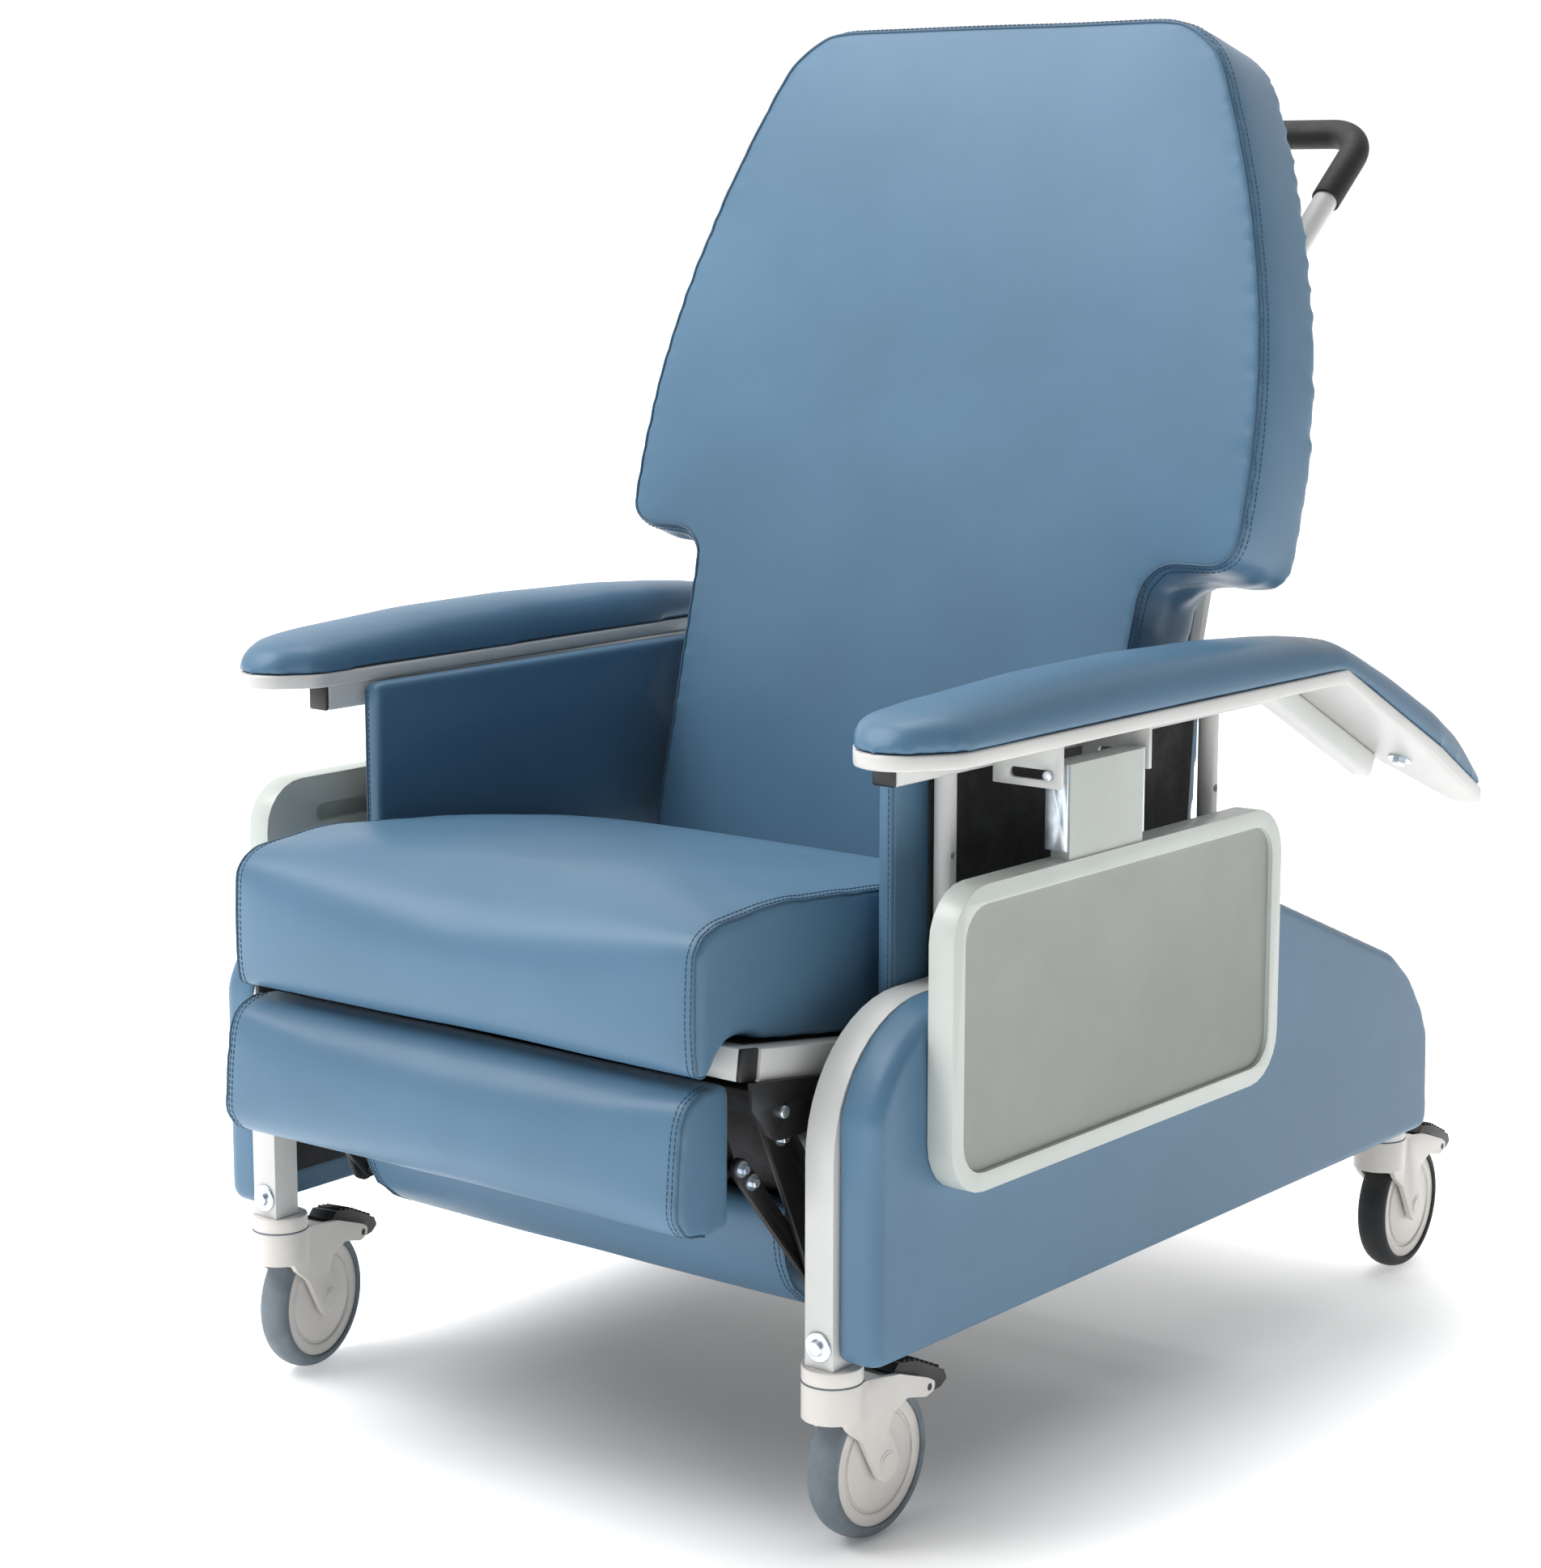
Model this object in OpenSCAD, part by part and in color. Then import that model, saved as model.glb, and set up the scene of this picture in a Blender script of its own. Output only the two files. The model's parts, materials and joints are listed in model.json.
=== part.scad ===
// Hospital recliner chair on castors: reclining winged back, fold-out legrest,
// drop arms with swing-up side trays and four braked swivel castors.
// Millimetres, +Z up, the sitter faces -Y, +X is the sitter's left hand side.
// Shapes are laid out from the front face of the front legs (y = 0) on the floor (z = 0);
// placed() then moves everything so the origin is the middle of the footprint.

/* [Frame] */
// distance from the centre plane to the middle of the leg tube
leg_x = 304.5; // [280:1:340]
// width of the rectangular frame tube
tube_w = 27; // [20:1:35]
// depth of the rectangular frame tube
tube_d = 26; // [20:1:35]
// height of the lower end of the legs
leg_bottom = 150; // [140:1:170]
// height of the top of the side frame behind the front bend
frame_top = 424; // [400:1:450]
// outer radius of the bend at the top of the front leg
front_bend = 112; // [80:1:140]
// distance from the front leg to the middle of the rear leg
rear_leg_y = 872; // [800:1:900]
// distance at which the top rail starts to slope down to the rear leg
slope_start = 575; // [500:1:640]
// height of the rear end of the sloping rail
slope_end = 300; // [260:1:340]

/* [Side panels] */
// outer face of the padded side panels
side_x = 356; // [350:1:370]
// lower edge of the padded side panels
side_bottom = 155; // [150:1:180]
// upper edge of the padded side panels
side_top = 436; // [425:1:450]

/* [Seat] */
// half of the seat cushion width
seat_half = 250; // [230:1:260]
// slope of the seat towards the back
seat_tilt = 8; // [4:1:12]
// height of the crest of the seat cushion
seat_crest = 502; // [480:1:520]

/* [Back] */
// lean of the back cushion from the vertical when upright
back_lean = 15.9; // [10:0.1:20]
// thickness of the back cushion with its board
back_t = 100; // [80:1:120]
// length of the back cushion along its slope
back_len = 780; // [700:1:800]
// largest half width across the wings
wing_half = 342; // [320:1:350]
// half width of the lower part that sits between the arms
lumbar_half = 253; // [230:1:260]
// distance of the recline axis from the front legs
recline_y = 585; // [560:1:610]
// height of the recline axis
recline_z = 385; // [370:1:400]

/* [Arms] */
// outer edge of the armrest
arm_out = 383; // [375:1:395]
// inner edge of the armrest at its front
arm_in = 287; // [280:1:295]
// height of the underside of the armrest base
arm_z = 608; // [600:1:620]
// distance at which the armrest bends down
arm_kink = 640; // [600:1:660]
// slope of the rear part of the armrest
arm_drop = 27; // [20:1:35]
// diameter of the arm posts
post_d = 17.5; // [16:0.1:20]

/* [Trays] */
// height of the tray hinge pin
tray_pin_z = 584; // [580:1:590]
// distance of the tray hinge pin from the centre plane
tray_pin_x = 368; // [360:1:372]
// length of the tray
tray_len = 476; // [450:1:520]
// height of the hanging tray
tray_h = 238; // [220:1:270]
// thickness of the tray over its rim
tray_t = 23; // [18:1:26]

/* [Legrest] */
// distance of the legrest main hinge from the front legs
lift_y = 0; // [-5:1:20]
// height of the legrest main hinge
lift_z = 345; // [335:1:350]
// half width of the calf pad
calf_half = 246; // [230:1:250]

/* [Castors] */
// diameter of the castor wheels
wheel_d = 125; // [100:1:125]
// distance of the wheel axle behind the swivel axis
trail = 43; // [35:1:45]
// width of the tyre
tyre_w = 28; // [24:1:34]

/* [Hidden] */
$fn = 48;
eps = 0.01;
fit = 0.05;

// footprint: foremost point of the calf pad and reach of a brake pedal behind its stem
front_most = -96;
pedal_reach = 128;
mid_y = (front_most + rear_leg_y + pedal_reach) / 2;

// frame
leg_in = leg_x - tube_w / 2;
leg_out = leg_x + tube_w / 2;
frame_rear = rear_leg_y + tube_d / 2;
board_t = 4;
board_inset = 22;
cross_d = 25;
cross_y = [210, 610];
cross_z = [255, 262];
cross_plate = [3, 40];
tie_d = 22;
tie_z = 225;
leg_bolt_z = 167.5;
washer_d = 24;
bolt_d = 12;
hinge_d = 10;
pin_d = 9;
recline_d = 14;

// arm posts and the sleeves they slide in
post_y = [157, 542];
post_bottom = 300;
sleeve_d = 24;
sleeve_bottom = 150;
latch_z = 522;
latch_d = 7;

// seat
rail_front = [-40, 387];
rail_h = 25;
rail_w = 20;
rail_len = 640;
deck_t = 5;
deck_len = 480;
seat_front = -80;
seat_low = 373;
seat_rear = [432, 443];

// back, from its pivot point at the foot of the front face
back_foot = [442.7, 430];
back_board_t = 5;
back_edge = 5;
wing_z = 350;
wing_curve = 0.0007;
top_r = 86;
notch_r = 28;
upright_x = 235;
upright = [20, 22, 640];

// push handle
bar_y = 904;
bar_z = 1080;
bar_half = 240;
bar_r = 35;
handle_slope = 40;
handle_d = 22;
handle_arm = 212;
grip_d = 27;
grip_arm = 60;

// armrests
arm_front = 24;
arm_tail = 340;
arm_base_t = 12;
arm_pad_edge = 16;
arm_pad_t = 44;
rail_x0 = 294;
rail_top_w = 21.4;
arm_rail_h = 22;
arm_rail_y = 80;
arm_cap_t = 4;
panel_x = [270, 287];
panel_y = [114, 560];
panel_low = 405;

// side trays
plate_y = [204, 329];
plate_t = 4;
plate_w = 64;
plate_h = 34;
slot_travel = 33;
slot_d = 8.2;
tray_pin_d = 8;
tray_out = 381;
tray_y0 = 63;
tray_z0 = 279;
tray_r = 42;
tray_rim = [15, 4];
neck_w = 104;
neck_t = 17.5;
channel_z = 524;
channel_w = 111;
channel_t = 3;

// legrest, as (y, z) points of the links
link_t = 5;
link_x = 252;
lift = [lift_y, lift_z];
knee = [lift_y + 70, lift_z - 155];
wrist = [lift_y - 24, lift_z - 43];
ear = [lift_y + 100, lift_z - 141];
rear_link_w = 24;
front_link_w = 16;

// castors
stem_y = 17;
collar_d = 48;
collar_t = 12.5;
stem_d = 12;
stem_bottom = 118;
wheel_r = wheel_d / 2;
cheek_in = tyre_w / 2 + 1.5;
cheek_out = cheek_in + 5;
axle_d = 10;
rim_r = 52;
brake_pin = [96, 109];
brake_pin_d = 6;

steel = [0.81, 0.82, 0.80];
vinyl = [0.42, 0.56, 0.68];
black = [0.10, 0.10, 0.11];
zinc = [0.70, 0.76, 0.80];
plastic = [0.64, 0.66, 0.62];
cream = [0.88, 0.86, 0.83];
rubber = [0.42, 0.48, 0.51];

// ---------- placing helpers ----------

// moves the working layout onto the part's origin
module placed() {
    translate([0, -mid_y, 0])
    children();
}

// the sitter's left (+1) or right (-1) copy
module on_side(side) {
    placed()
    scale([side, 1, 1])
    children();
}

// one copy on each side
module both_sides() {
    for (side = [-1, 1])
        on_side(side)
        children();
}

// extrudes a (y, z) outline along x from x0 to x1
module slab(x0, x1) {
    translate([x0, 0, 0])
    rotate([90, 0, 90])
    linear_extrude(x1 - x0)
    children();
}

// round bar along x
module bar_x(x0, x1, y, z, d) {
    translate([x0, y, z])
    rotate([0, 90, 0])
    cylinder(d = d, h = x1 - x0);
}

// rounded outline through corner points
module rounded(points, r) {
    offset(r = r, $fn = 24)
    offset(delta = -r)
    polygon(points);
}

// ---------- base frame ----------

// (y, z) outline enclosed by the side frame tube, grown by "more"
module frame_outline(more) {
    offset(delta = more)
    intersection() {
        polygon([[0, 0], [0, frame_top], [slope_start, frame_top],
                 [frame_rear - 45, slope_end + 18], [frame_rear, slope_end - 60],
                 [frame_rear, 0]]);
        union() {
            translate([front_bend, 0])
            square([frame_rear, frame_top]);
            square([front_bend + 1, frame_top - front_bend]);
            translate([front_bend, frame_top - front_bend])
            circle(r = front_bend);
        }
    }
}

// bent rectangular tube: front leg, top rail, sloping rail and rear leg
module side_frame() {
    color(steel)
    difference() {
        slab(leg_in, leg_out)
        difference() {
            frame_outline(0);
            frame_outline(-tube_d);
            translate([-rear_leg_y, 0])
            square([3 * rear_leg_y, leg_bottom]);
        }
        for (y = post_y)
            translate([leg_x, y, sleeve_bottom])
            cylinder(d = sleeve_d, h = frame_top);
        for (y = [stem_y, rear_leg_y])
            translate([leg_x, y, leg_bottom - eps])
            cylinder(d = stem_d, h = 40);
    }
}

// vertical sleeves inside the side frames that guide the arm posts
module post_sleeves() {
    color(steel)
    both_sides()
    for (y = post_y)
        translate([leg_x, y, sleeve_bottom])
        difference() {
            cylinder(d = sleeve_d, h = frame_top - sleeve_bottom);
            translate([0, 0, -1])
            cylinder(d = post_d + 2 * fit, h = frame_top);
        }
}

// (y, z) outline of the side panel
module side_outline() {
    rear = rear_leg_y;
    shoulder = 14;
    intersection() {
        rounded([[4, side_bottom], [4, side_top - shoulder], [60, side_top - shoulder],
                 [140, side_top], [slope_start + 22, side_top], [rear - 123, slope_end + 64],
                 [rear - 73, slope_end + 36], [rear - 40, slope_end + 10],
                 [rear - 16, slope_end - 22], [rear - 3, slope_end - 50],
                 [rear, slope_end - 120], [rear, side_bottom]], 12);
        offset(delta = 12)
        frame_outline(-10);
    }
}

// padded side panel outside the frame, with a pocket for its board
module side_panel() {
    edge = 6;
    color(vinyl) {
        difference() {
            slab(leg_out + 0.5, side_x - edge)
            side_outline();
            slab(leg_out, leg_out + board_t)
            offset(delta = -board_inset)
            side_outline();
        }
        slab(side_x - edge - 0.5, side_x)
        offset(delta = -edge)
        side_outline();
    }
}

// backing boards of the side panels
module panel_boards() {
    color(black)
    both_sides()
    slab(leg_out, leg_out + board_t)
    offset(delta = -board_inset - 0.3)
    side_outline();
}

// round tubes and end plates that tie the two side frames together
module cross_tubes() {
    drop = cross_d / 2 + 5.5;
    color(steel)
    placed() {
        for (i = [0, 1]) {
            bar_x(-leg_in, leg_in, cross_y[i], cross_z[i], cross_d);
            for (x = [-leg_in, leg_in - cross_plate[0]])
                translate([x, cross_y[i] - cross_plate[1] / 2, cross_z[i] - drop])
                cube([cross_plate[0], cross_plate[1], frame_top - 10 - cross_z[i] + drop]);
        }
        bar_x(-leg_in, leg_in, rear_leg_y, tie_z, tie_d);
    }
}

// bolt head on a washer, standing on the plane y = 0 and facing -y
module leg_bolt() {
    for (part = [[washer_d, 0, 2], [bolt_d, 1, 5]])
        translate([leg_x, -part[1], leg_bolt_z])
        rotate([90, 0, 0])
        cylinder(d = part[0], h = part[2]);
}

// bolts through the legs and the hinge bolts of the back and legrest
module frame_bolts() {
    color(zinc)
    both_sides() {
        leg_bolt();
        translate([0, frame_rear, 0])
        mirror([0, 1, 0])
        leg_bolt();
        bar_x(link_x - link_t, seat_half + 23, lift_y, lift_z, hinge_d);
        bar_x(243, 277, recline_y, recline_z, recline_d);
    }
}

// fixed upper halves of the castors with their stems inside the legs
module castor_stems() {
    color(cream)
    both_sides()
    for (y = [stem_y, rear_leg_y])
        translate([leg_x, y, 0]) {
            translate([0, 0, leg_bottom - collar_t])
            cylinder(d = collar_d, h = collar_t);
            translate([0, 0, stem_bottom])
            cylinder(d = stem_d, h = leg_bottom + 34 - stem_bottom);
        }
}

// ---------- seat ----------

// tilts children about the front end of the seat rails
module on_rails() {
    translate([0, rail_front[0], rail_front[1]])
    rotate([-seat_tilt, 0, 0])
    children();
}

// two side rails with cross bars under the cushion
module seat_frame() {
    bar_half = seat_half + 8;
    color(steel)
    placed()
    on_rails() {
        for (side = [-1, 1])
            translate([side * (seat_half + 5) - rail_w / 2, rail_w, -rail_h / 2])
            cube([rail_w, rail_len - rail_w, rail_h]);
        translate([-bar_half, 0, -rail_h / 2])
        cube([2 * bar_half, rail_w, rail_h]);
        for (y = [330, rail_len - 25])
            translate([-seat_half + 5, y, -rail_h / 2])
            cube([2 * seat_half - 10, rail_w, rail_h - deck_t]);
    }
}

// black plugs in the ends of the front cross bar
module seat_rail_caps() {
    color(black)
    both_sides()
    on_rails()
    translate([seat_half + 8, 0, -rail_h / 2])
    cube([4, rail_w, rail_h]);
}

// plywood deck let in between the rails under the cushion
module seat_deck() {
    half = seat_half - 5.5;
    color(black)
    placed()
    on_rails()
    translate([-half, rail_w + 0.5, rail_h / 2 - deck_t])
    cube([2 * half, deck_len, deck_t]);
}

// upholstered seat cushion with a front roll that hangs over the cross bar
module seat_cushion() {
    lip = 26;
    color(vinyl)
    placed()
    slab(-seat_half, seat_half)
    difference() {
        rounded([[seat_front + lip, seat_low], [seat_front + 3, seat_low + 3],
                 [seat_front, seat_low + 47], [seat_front + 2, seat_crest - 24],
                 [seat_front + 10, seat_crest - 12], [seat_front + 28, seat_crest - 5],
                 [seat_front + 60, seat_crest - 2], [seat_front + 110, seat_crest],
                 [seat_front + 241, seat_crest - 12], [seat_front + 380, seat_crest - 31],
                 seat_rear, seat_rear - [28, 113], [rail_front[0], rail_front[1] + 5],
                 [seat_front + lip, rail_front[1] + 5]], 7);
        translate(rail_front)
        rotate(-seat_tilt)
        translate([0, -rail_h])
        square([rail_len, 1.5 * rail_h + 0.3]);
        translate([seat_front + 36, rail_front[1] - rail_h])
        square([40, 40]);
    }
}

// upright plates at the rear of the seat rails that carry the recline axis
module recline_brackets() {
    color(black)
    both_sides()
    slab(seat_half + 15, seat_half + 19.5)
    difference() {
        hull() {
            translate([recline_y, recline_z])
            circle(d = 44);
            translate([recline_y - 65, recline_z - 93])
            square([80, 20]);
        }
        translate([recline_y, recline_z])
        circle(d = recline_d);
    }
}

// plates under the front of the seat rails that carry the legrest
module leg_mounts() {
    color(black)
    both_sides()
    slab(seat_half + 15, seat_half + 20)
    difference() {
        hull() {
            translate(lift)
            circle(d = 44);
            translate(lift)
            polygon([[-36, 7], [-36, 29], [180, 2], [180, -25]]);
        }
        translate(lift)
        circle(d = hinge_d);
    }
}

// ---------- back ----------

// local back coordinates: y across the thickness, z up along the slope
module on_back() {
    placed()
    translate([0, back_foot[0], back_foot[1]])
    rotate([-back_lean, 0, 0])
    children();
}

// extrudes an (x, slope) outline through the thickness of the back
module back_slab(y0, y1) {
    translate([0, y1, 0])
    rotate([90, 0, 0])
    linear_extrude(y1 - y0)
    children();
}

// hull of mirrored circles given as [x, height, radius]
module mirrored_hull(rounds) {
    hull()
    for (r = rounds, side = [-1, 1])
        translate([side * r[0], r[1]])
        circle(r = r[2], $fn = 32);
}

// outline of the winged back, narrowing in a curve above the wings, with rounded notches
module back_outline(more) {
    wing_r = 30;
    wing = [for (z = [wing_z + 30 : 40 : back_len - 100])
                [wing_half - 60 - wing_curve * pow(z - wing_z, 2), z, 60]];
    offset(delta = more)
    offset(r = -notch_r, $fn = 24)
    offset(r = notch_r, $fn = 24)
    union() {
        mirrored_hull(concat(wing, [[wing_half / 2, back_len - top_r, top_r],
                                    [wing_half - wing_r, wing_z - wing_r, wing_r]]));
        mirrored_hull([[lumbar_half - 18, 10, 10], [lumbar_half - 12, 300, 12]]);
    }
}

// upholstered winged cushion with a narrower front edge
module back_cushion() {
    color(vinyl)
    on_back() {
        back_slab(0, back_edge + 0.5)
        back_outline(-6);
        back_slab(back_edge, back_t - back_board_t)
        back_outline(0);
    }
}

// plywood board closing the rear of the back
module back_board() {
    color(black)
    on_back()
    back_slab(back_t - back_board_t, back_t)
    back_outline(-16);
}

// steel uprights, cross bars and hinge plates behind the board
module back_frame() {
    bar_len = 2 * upright_x - upright[0];
    color(steel)
    on_back() {
        for (side = [-1, 1])
            translate([side * upright_x - upright[0] / 2, back_t, 20])
            cube(upright);
        for (z = [60, 420])
            translate([-bar_len / 2 - 1, back_t, z])
            cube([bar_len + 2, 20, 20]);
    }
    color(black)
    both_sides()
    slab(upright_x + 9.5, upright_x + 15.5)
    difference() {
        hull() {
            translate([recline_y, recline_z])
            circle(d = 40);
            translate([recline_y - 20, recline_z + 55])
            square([22, 60]);
        }
        translate([recline_y, recline_z])
        circle(d = recline_d + 2 * fit);
    }
}

// ---------- push handle ----------

// handle coordinates: x across, y along the arms, starting at the bar
module on_handle() {
    placed()
    translate([0, bar_y, bar_z])
    rotate([handle_slope, 0, 0])
    children();
}

// U-shaped round bar with arms of the given length
module handle_path(d, arm) {
    bar_x(-bar_half + bar_r, bar_half - bar_r, 0, 0, d);
    for (side = [0, 1])
        mirror([side, 0, 0]) {
            translate([bar_half - bar_r, -bar_r, 0])
            rotate_extrude(angle = 90)
            translate([bar_r, 0])
            circle(d = d);
            translate([bar_half, -bar_r, 0])
            rotate([90, 0, 0])
            cylinder(d = d, h = arm);
        }
}

// U-shaped tube that ends on the rear faces of the uprights
module push_handle() {
    color(steel)
    difference() {
        on_handle()
        handle_path(handle_d, handle_arm);
        on_back()
        translate([-wing_half, -back_t, 0])
        cube([2 * wing_half, 2 * back_t + upright[1], back_len]);
    }
}

// foam grip around the bar and the bends
module handle_grip() {
    color(black)
    on_handle()
    difference() {
        handle_path(grip_d, grip_arm);
        handle_path(handle_d, grip_arm + 10);
    }
}

// ---------- arms ----------

// (y, z) band that follows the underside of the armrest, from "low" to "high" above it
module arm_band(low, high, y0, tail) {
    c = cos(arm_drop);
    s = sin(arm_drop);
    t = tan(arm_drop / 2);
    polygon([[y0, arm_z + low], [arm_kink + low * t, arm_z + low],
             [arm_kink + tail * c + low * s, arm_z - tail * s + low * c],
             [arm_kink + tail * c + high * s, arm_z - tail * s + high * c],
             [arm_kink + high * t, arm_z + high], [y0, arm_z + high]]);
}

// (x, y) outline of the armrest seen from above
module arm_plan(more) {
    rounds = [[333, arm_front + 34, 34], [arm_out - 30, 80, 30], [arm_in + 24, 70, 24],
              [arm_in + 36, 300, 24], [arm_out - 22, arm_kink + 180, 22],
              [arm_in + 38, arm_kink + 180, 22], [352, arm_kink + arm_tail - 62, 20]];
    offset(delta = more)
    hull()
    for (r = rounds)
        translate([r[0], r[1]])
        circle(r = r[2], $fn = 32);
}

// layer of the armrest between two heights above its underside, "inset" inside its edge
module arm_layer(low, high, inset) {
    intersection() {
        slab(arm_in - 40, arm_out + 20)
        arm_band(low, high, arm_front - 5 + inset, arm_tail - inset);
        translate([0, 0, arm_z / 2])
        linear_extrude(arm_z)
        arm_plan(-inset);
    }
}

// rectangular tube under the armrest that bends down at the rear
module arm_rail(side) {
    color(steel)
    on_side(side)
    slab(rail_x0, rail_x0 + rail_top_w)
    arm_band(-arm_rail_h, 0, arm_rail_y, 205);
}

// black plug in the front end of the arm rail
module arm_cap(side) {
    color(black)
    on_side(side)
    translate([rail_x0, arm_rail_y - arm_cap_t, arm_z - arm_rail_h])
    cube([rail_top_w, arm_cap_t, arm_rail_h]);
}

// two round posts that slide in the sleeves
module arm_posts(side) {
    color(steel)
    on_side(side)
    for (y = post_y)
        translate([leg_x, y, 0])
        difference() {
            translate([0, 0, post_bottom])
            cylinder(d = post_d, h = arm_z - arm_rail_h - post_bottom);
            translate([0, 0, latch_z])
            rotate([0, 90, 0])
            cylinder(d = latch_d, h = post_d);
        }
}

// moulded base with its edge strip
module arm_base(side) {
    color(cream)
    on_side(side)
    arm_layer(0, arm_base_t, 0);
}

// padded top of the armrest
module arm_pad(side) {
    edge = arm_base_t + arm_pad_edge;
    color(vinyl)
    on_side(side) {
        arm_layer(arm_base_t, edge, 0);
        arm_layer(edge - 0.5, arm_base_t + arm_pad_t, 10);
    }
}

// padded panel between the seat and the arm posts
module arm_panel(side) {
    color(vinyl)
    on_side(side)
    slab(panel_x[0], panel_x[1])
    rounded([[panel_y[0], panel_low], [panel_y[0], arm_z], [panel_y[1], arm_z],
             [panel_y[1] - 20, panel_low]], 8);
}

// slotted plates under the armrest that carry the tray pin
module tray_bracket(side) {
    color(steel)
    on_side(side)
    for (y = plate_y)
        translate([0, y + plate_t, 0])
        rotate([90, 0, 0])
        linear_extrude(plate_t)
        difference() {
            translate([rail_x0 + rail_top_w, arm_z - plate_h])
            square([plate_w, plate_h]);
            hull()
            for (x = [tray_pin_x, tray_pin_x - slot_travel])
                translate([x, tray_pin_z])
                circle(d = slot_d);
        }
}

// ---------- side trays ----------

// (y, z) outline of the tray plate
module tray_outline(more) {
    offset(delta = more)
    rounded([[tray_y0, tray_z0], [tray_y0 + tray_len, tray_z0],
             [tray_y0 + tray_len, tray_z0 + tray_h], [tray_y0, tray_z0 + tray_h]], tray_r);
}

// round bar along the tray hinge
module tray_pin(y0, length) {
    translate([tray_pin_x, y0, tray_pin_z])
    rotate([-90, 0, 0])
    cylinder(d = tray_pin_d, h = length);
}

// moulded tray with a raised rim, a long recess in its back and a neck up to the hinge pin
module tray(side) {
    inner = tray_out - tray_t;
    top = tray_z0 + tray_h;
    neck_top = tray_pin_z + tray_pin_d;
    recess_y = [130, 430];
    recess_h = 16;
    recess_depth = 8;
    color(plastic)
    on_side(side)
    difference() {
        union() {
            slab(inner, tray_out)
            tray_outline(0);
            slab(inner + 3.5, inner + 3.5 + neck_t)
            translate([plate_y[0] + 14, top - 20])
            square([neck_w, neck_top - top + 20]);
        }
        slab(tray_out - tray_rim[1], tray_out + 1)
        tray_outline(-tray_rim[0]);
        slab(inner - 1, inner + recess_depth)
        hull()
        for (y = recess_y)
            translate([y, top - 34])
            circle(d = recess_h);
        tray_pin(plate_y[0], 130);
    }
}

// pressed channel around the neck with the hinge pin
module tray_brace(side) {
    inner = tray_out - tray_t;
    height = tray_pin_z + tray_pin_d - channel_z;
    y0 = plate_y[0] + 10.5;
    color(zinc)
    on_side(side) {
        for (y = [y0, y0 + channel_w - channel_t])
            slab(inner + 0.5, tray_out - channel_t)
            translate([y, channel_z])
            square([channel_t, height]);
        slab(inner, inner + channel_t)
        translate([y0, channel_z])
        square([channel_w, height]);
        tray_pin(plate_y[0] - 3, 135);
    }
}

// ---------- legrest ----------

// flat plate through (y, z) points with a bore at each of the first bores
module link(points, width, x0, bores) {
    slab(x0, x0 + link_t)
    difference() {
        hull()
        for (p = points)
            translate(p)
            circle(d = width);
        for (i = [0 : len(bores) - 1])
            translate(points[i])
            circle(d = bores[i]);
    }
}

// bell cranks from the main hinge to the knee and the lower pad, with the knee pins
module rear_links() {
    color(black)
    both_sides()
    link([lift, knee, ear], rear_link_w, link_x - 1,
         [hinge_d + 2 * fit, pin_d]);
    color(zinc)
    both_sides()
    bar_x(link_x - 10, link_x + link_t - 1, knee[0], knee[1], pin_d);
}

// links from the knee to the calf pad, with their end pins
module front_links() {
    color(black)
    both_sides()
    link([knee, wrist], front_link_w, link_x - 8, [pin_d + 2 * fit, pin_d]);
    color(zinc)
    both_sides()
    bar_x(link_x - 21.5, link_x - 3, wrist[0], wrist[1], pin_d);
}

// board of the lower pad, fixed to the rear links by an ear at each end
module mid_board() {
    color(black) {
        placed()
        slab(-link_x + 17, link_x - 17)
        rounded([knee + [18, 48], knee + [-36, 132], knee + [-55, 160], knee + [-46, 167],
                 knee + [-26, 138], knee + [30, 50], knee + [42, -12], knee + [32, -16]], 2);
        both_sides()
        slab(link_x - 18, link_x - 1)
        translate(ear + [-8, -12])
        square([20, 22]);
    }
}

// lower pad that turns up between the seat and the calf pad
module mid_pad() {
    half = link_x - 20;
    color(vinyl)
    placed()
    slab(-half, half)
    rounded([knee + [-20, 62], knee + [-23, 38], knee + [-19, 13], knee + [-9, -8],
             knee + [14, -27], knee + [40, -38], knee + [49, -33], knee + [44, -20],
             knee + [29, -17.5], knee + [13, 50], knee + [6, 62]], 3);
}

// board behind the calf pad with its hinge lugs
module calf_board() {
    face = wrist[0] - 9;
    thick = 12;
    half = calf_half - 16;
    color(black) {
        placed()
        slab(-half, half)
        translate([face, wrist[1] - 40])
        square([thick, 100]);
        both_sides()
        slab(half, half + 5.5)
        difference() {
            hull() {
                translate(wrist)
                circle(d = 17);
                translate([face, wrist[1] - 12])
                square([7, 40]);
            }
            translate(wrist)
            circle(d = pin_d + 2 * fit);
        }
    }
}

// padded calf support
module calf_pad() {
    rear = wrist[0] - 9;
    low = wrist[1] - 47;
    high = wrist[1] + 69;
    color(vinyl)
    placed()
    slab(-calf_half, calf_half)
    rounded([[rear - 27, high], [rear - 49, high - 8], [rear - 57, high - 26],
             [front_most, high - 79], [front_most, low + 19], [rear - 51, low + 4],
             [rear - 29, low], [rear, low + 2], [rear, high - 2]], 5);
}

// ---------- castors ----------

// swivel angle at rest of each castor, seen from above
swivels = [["front", 1, -1], ["front", -1, 11], ["rear", 1, 2], ["rear", -1, 0]];

// castor coordinates: origin on the floor under the swivel axis, wheel trailing along +Y
module on_castor(row, side) {
    y = row == "front" ? stem_y : rear_leg_y;
    angle = [for (s = swivels) if (s[0] == row && s[1] == side) s[2]][0];
    placed()
    translate([side * leg_x, y, 0])
    rotate([0, 0, angle])
    children();
}

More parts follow.
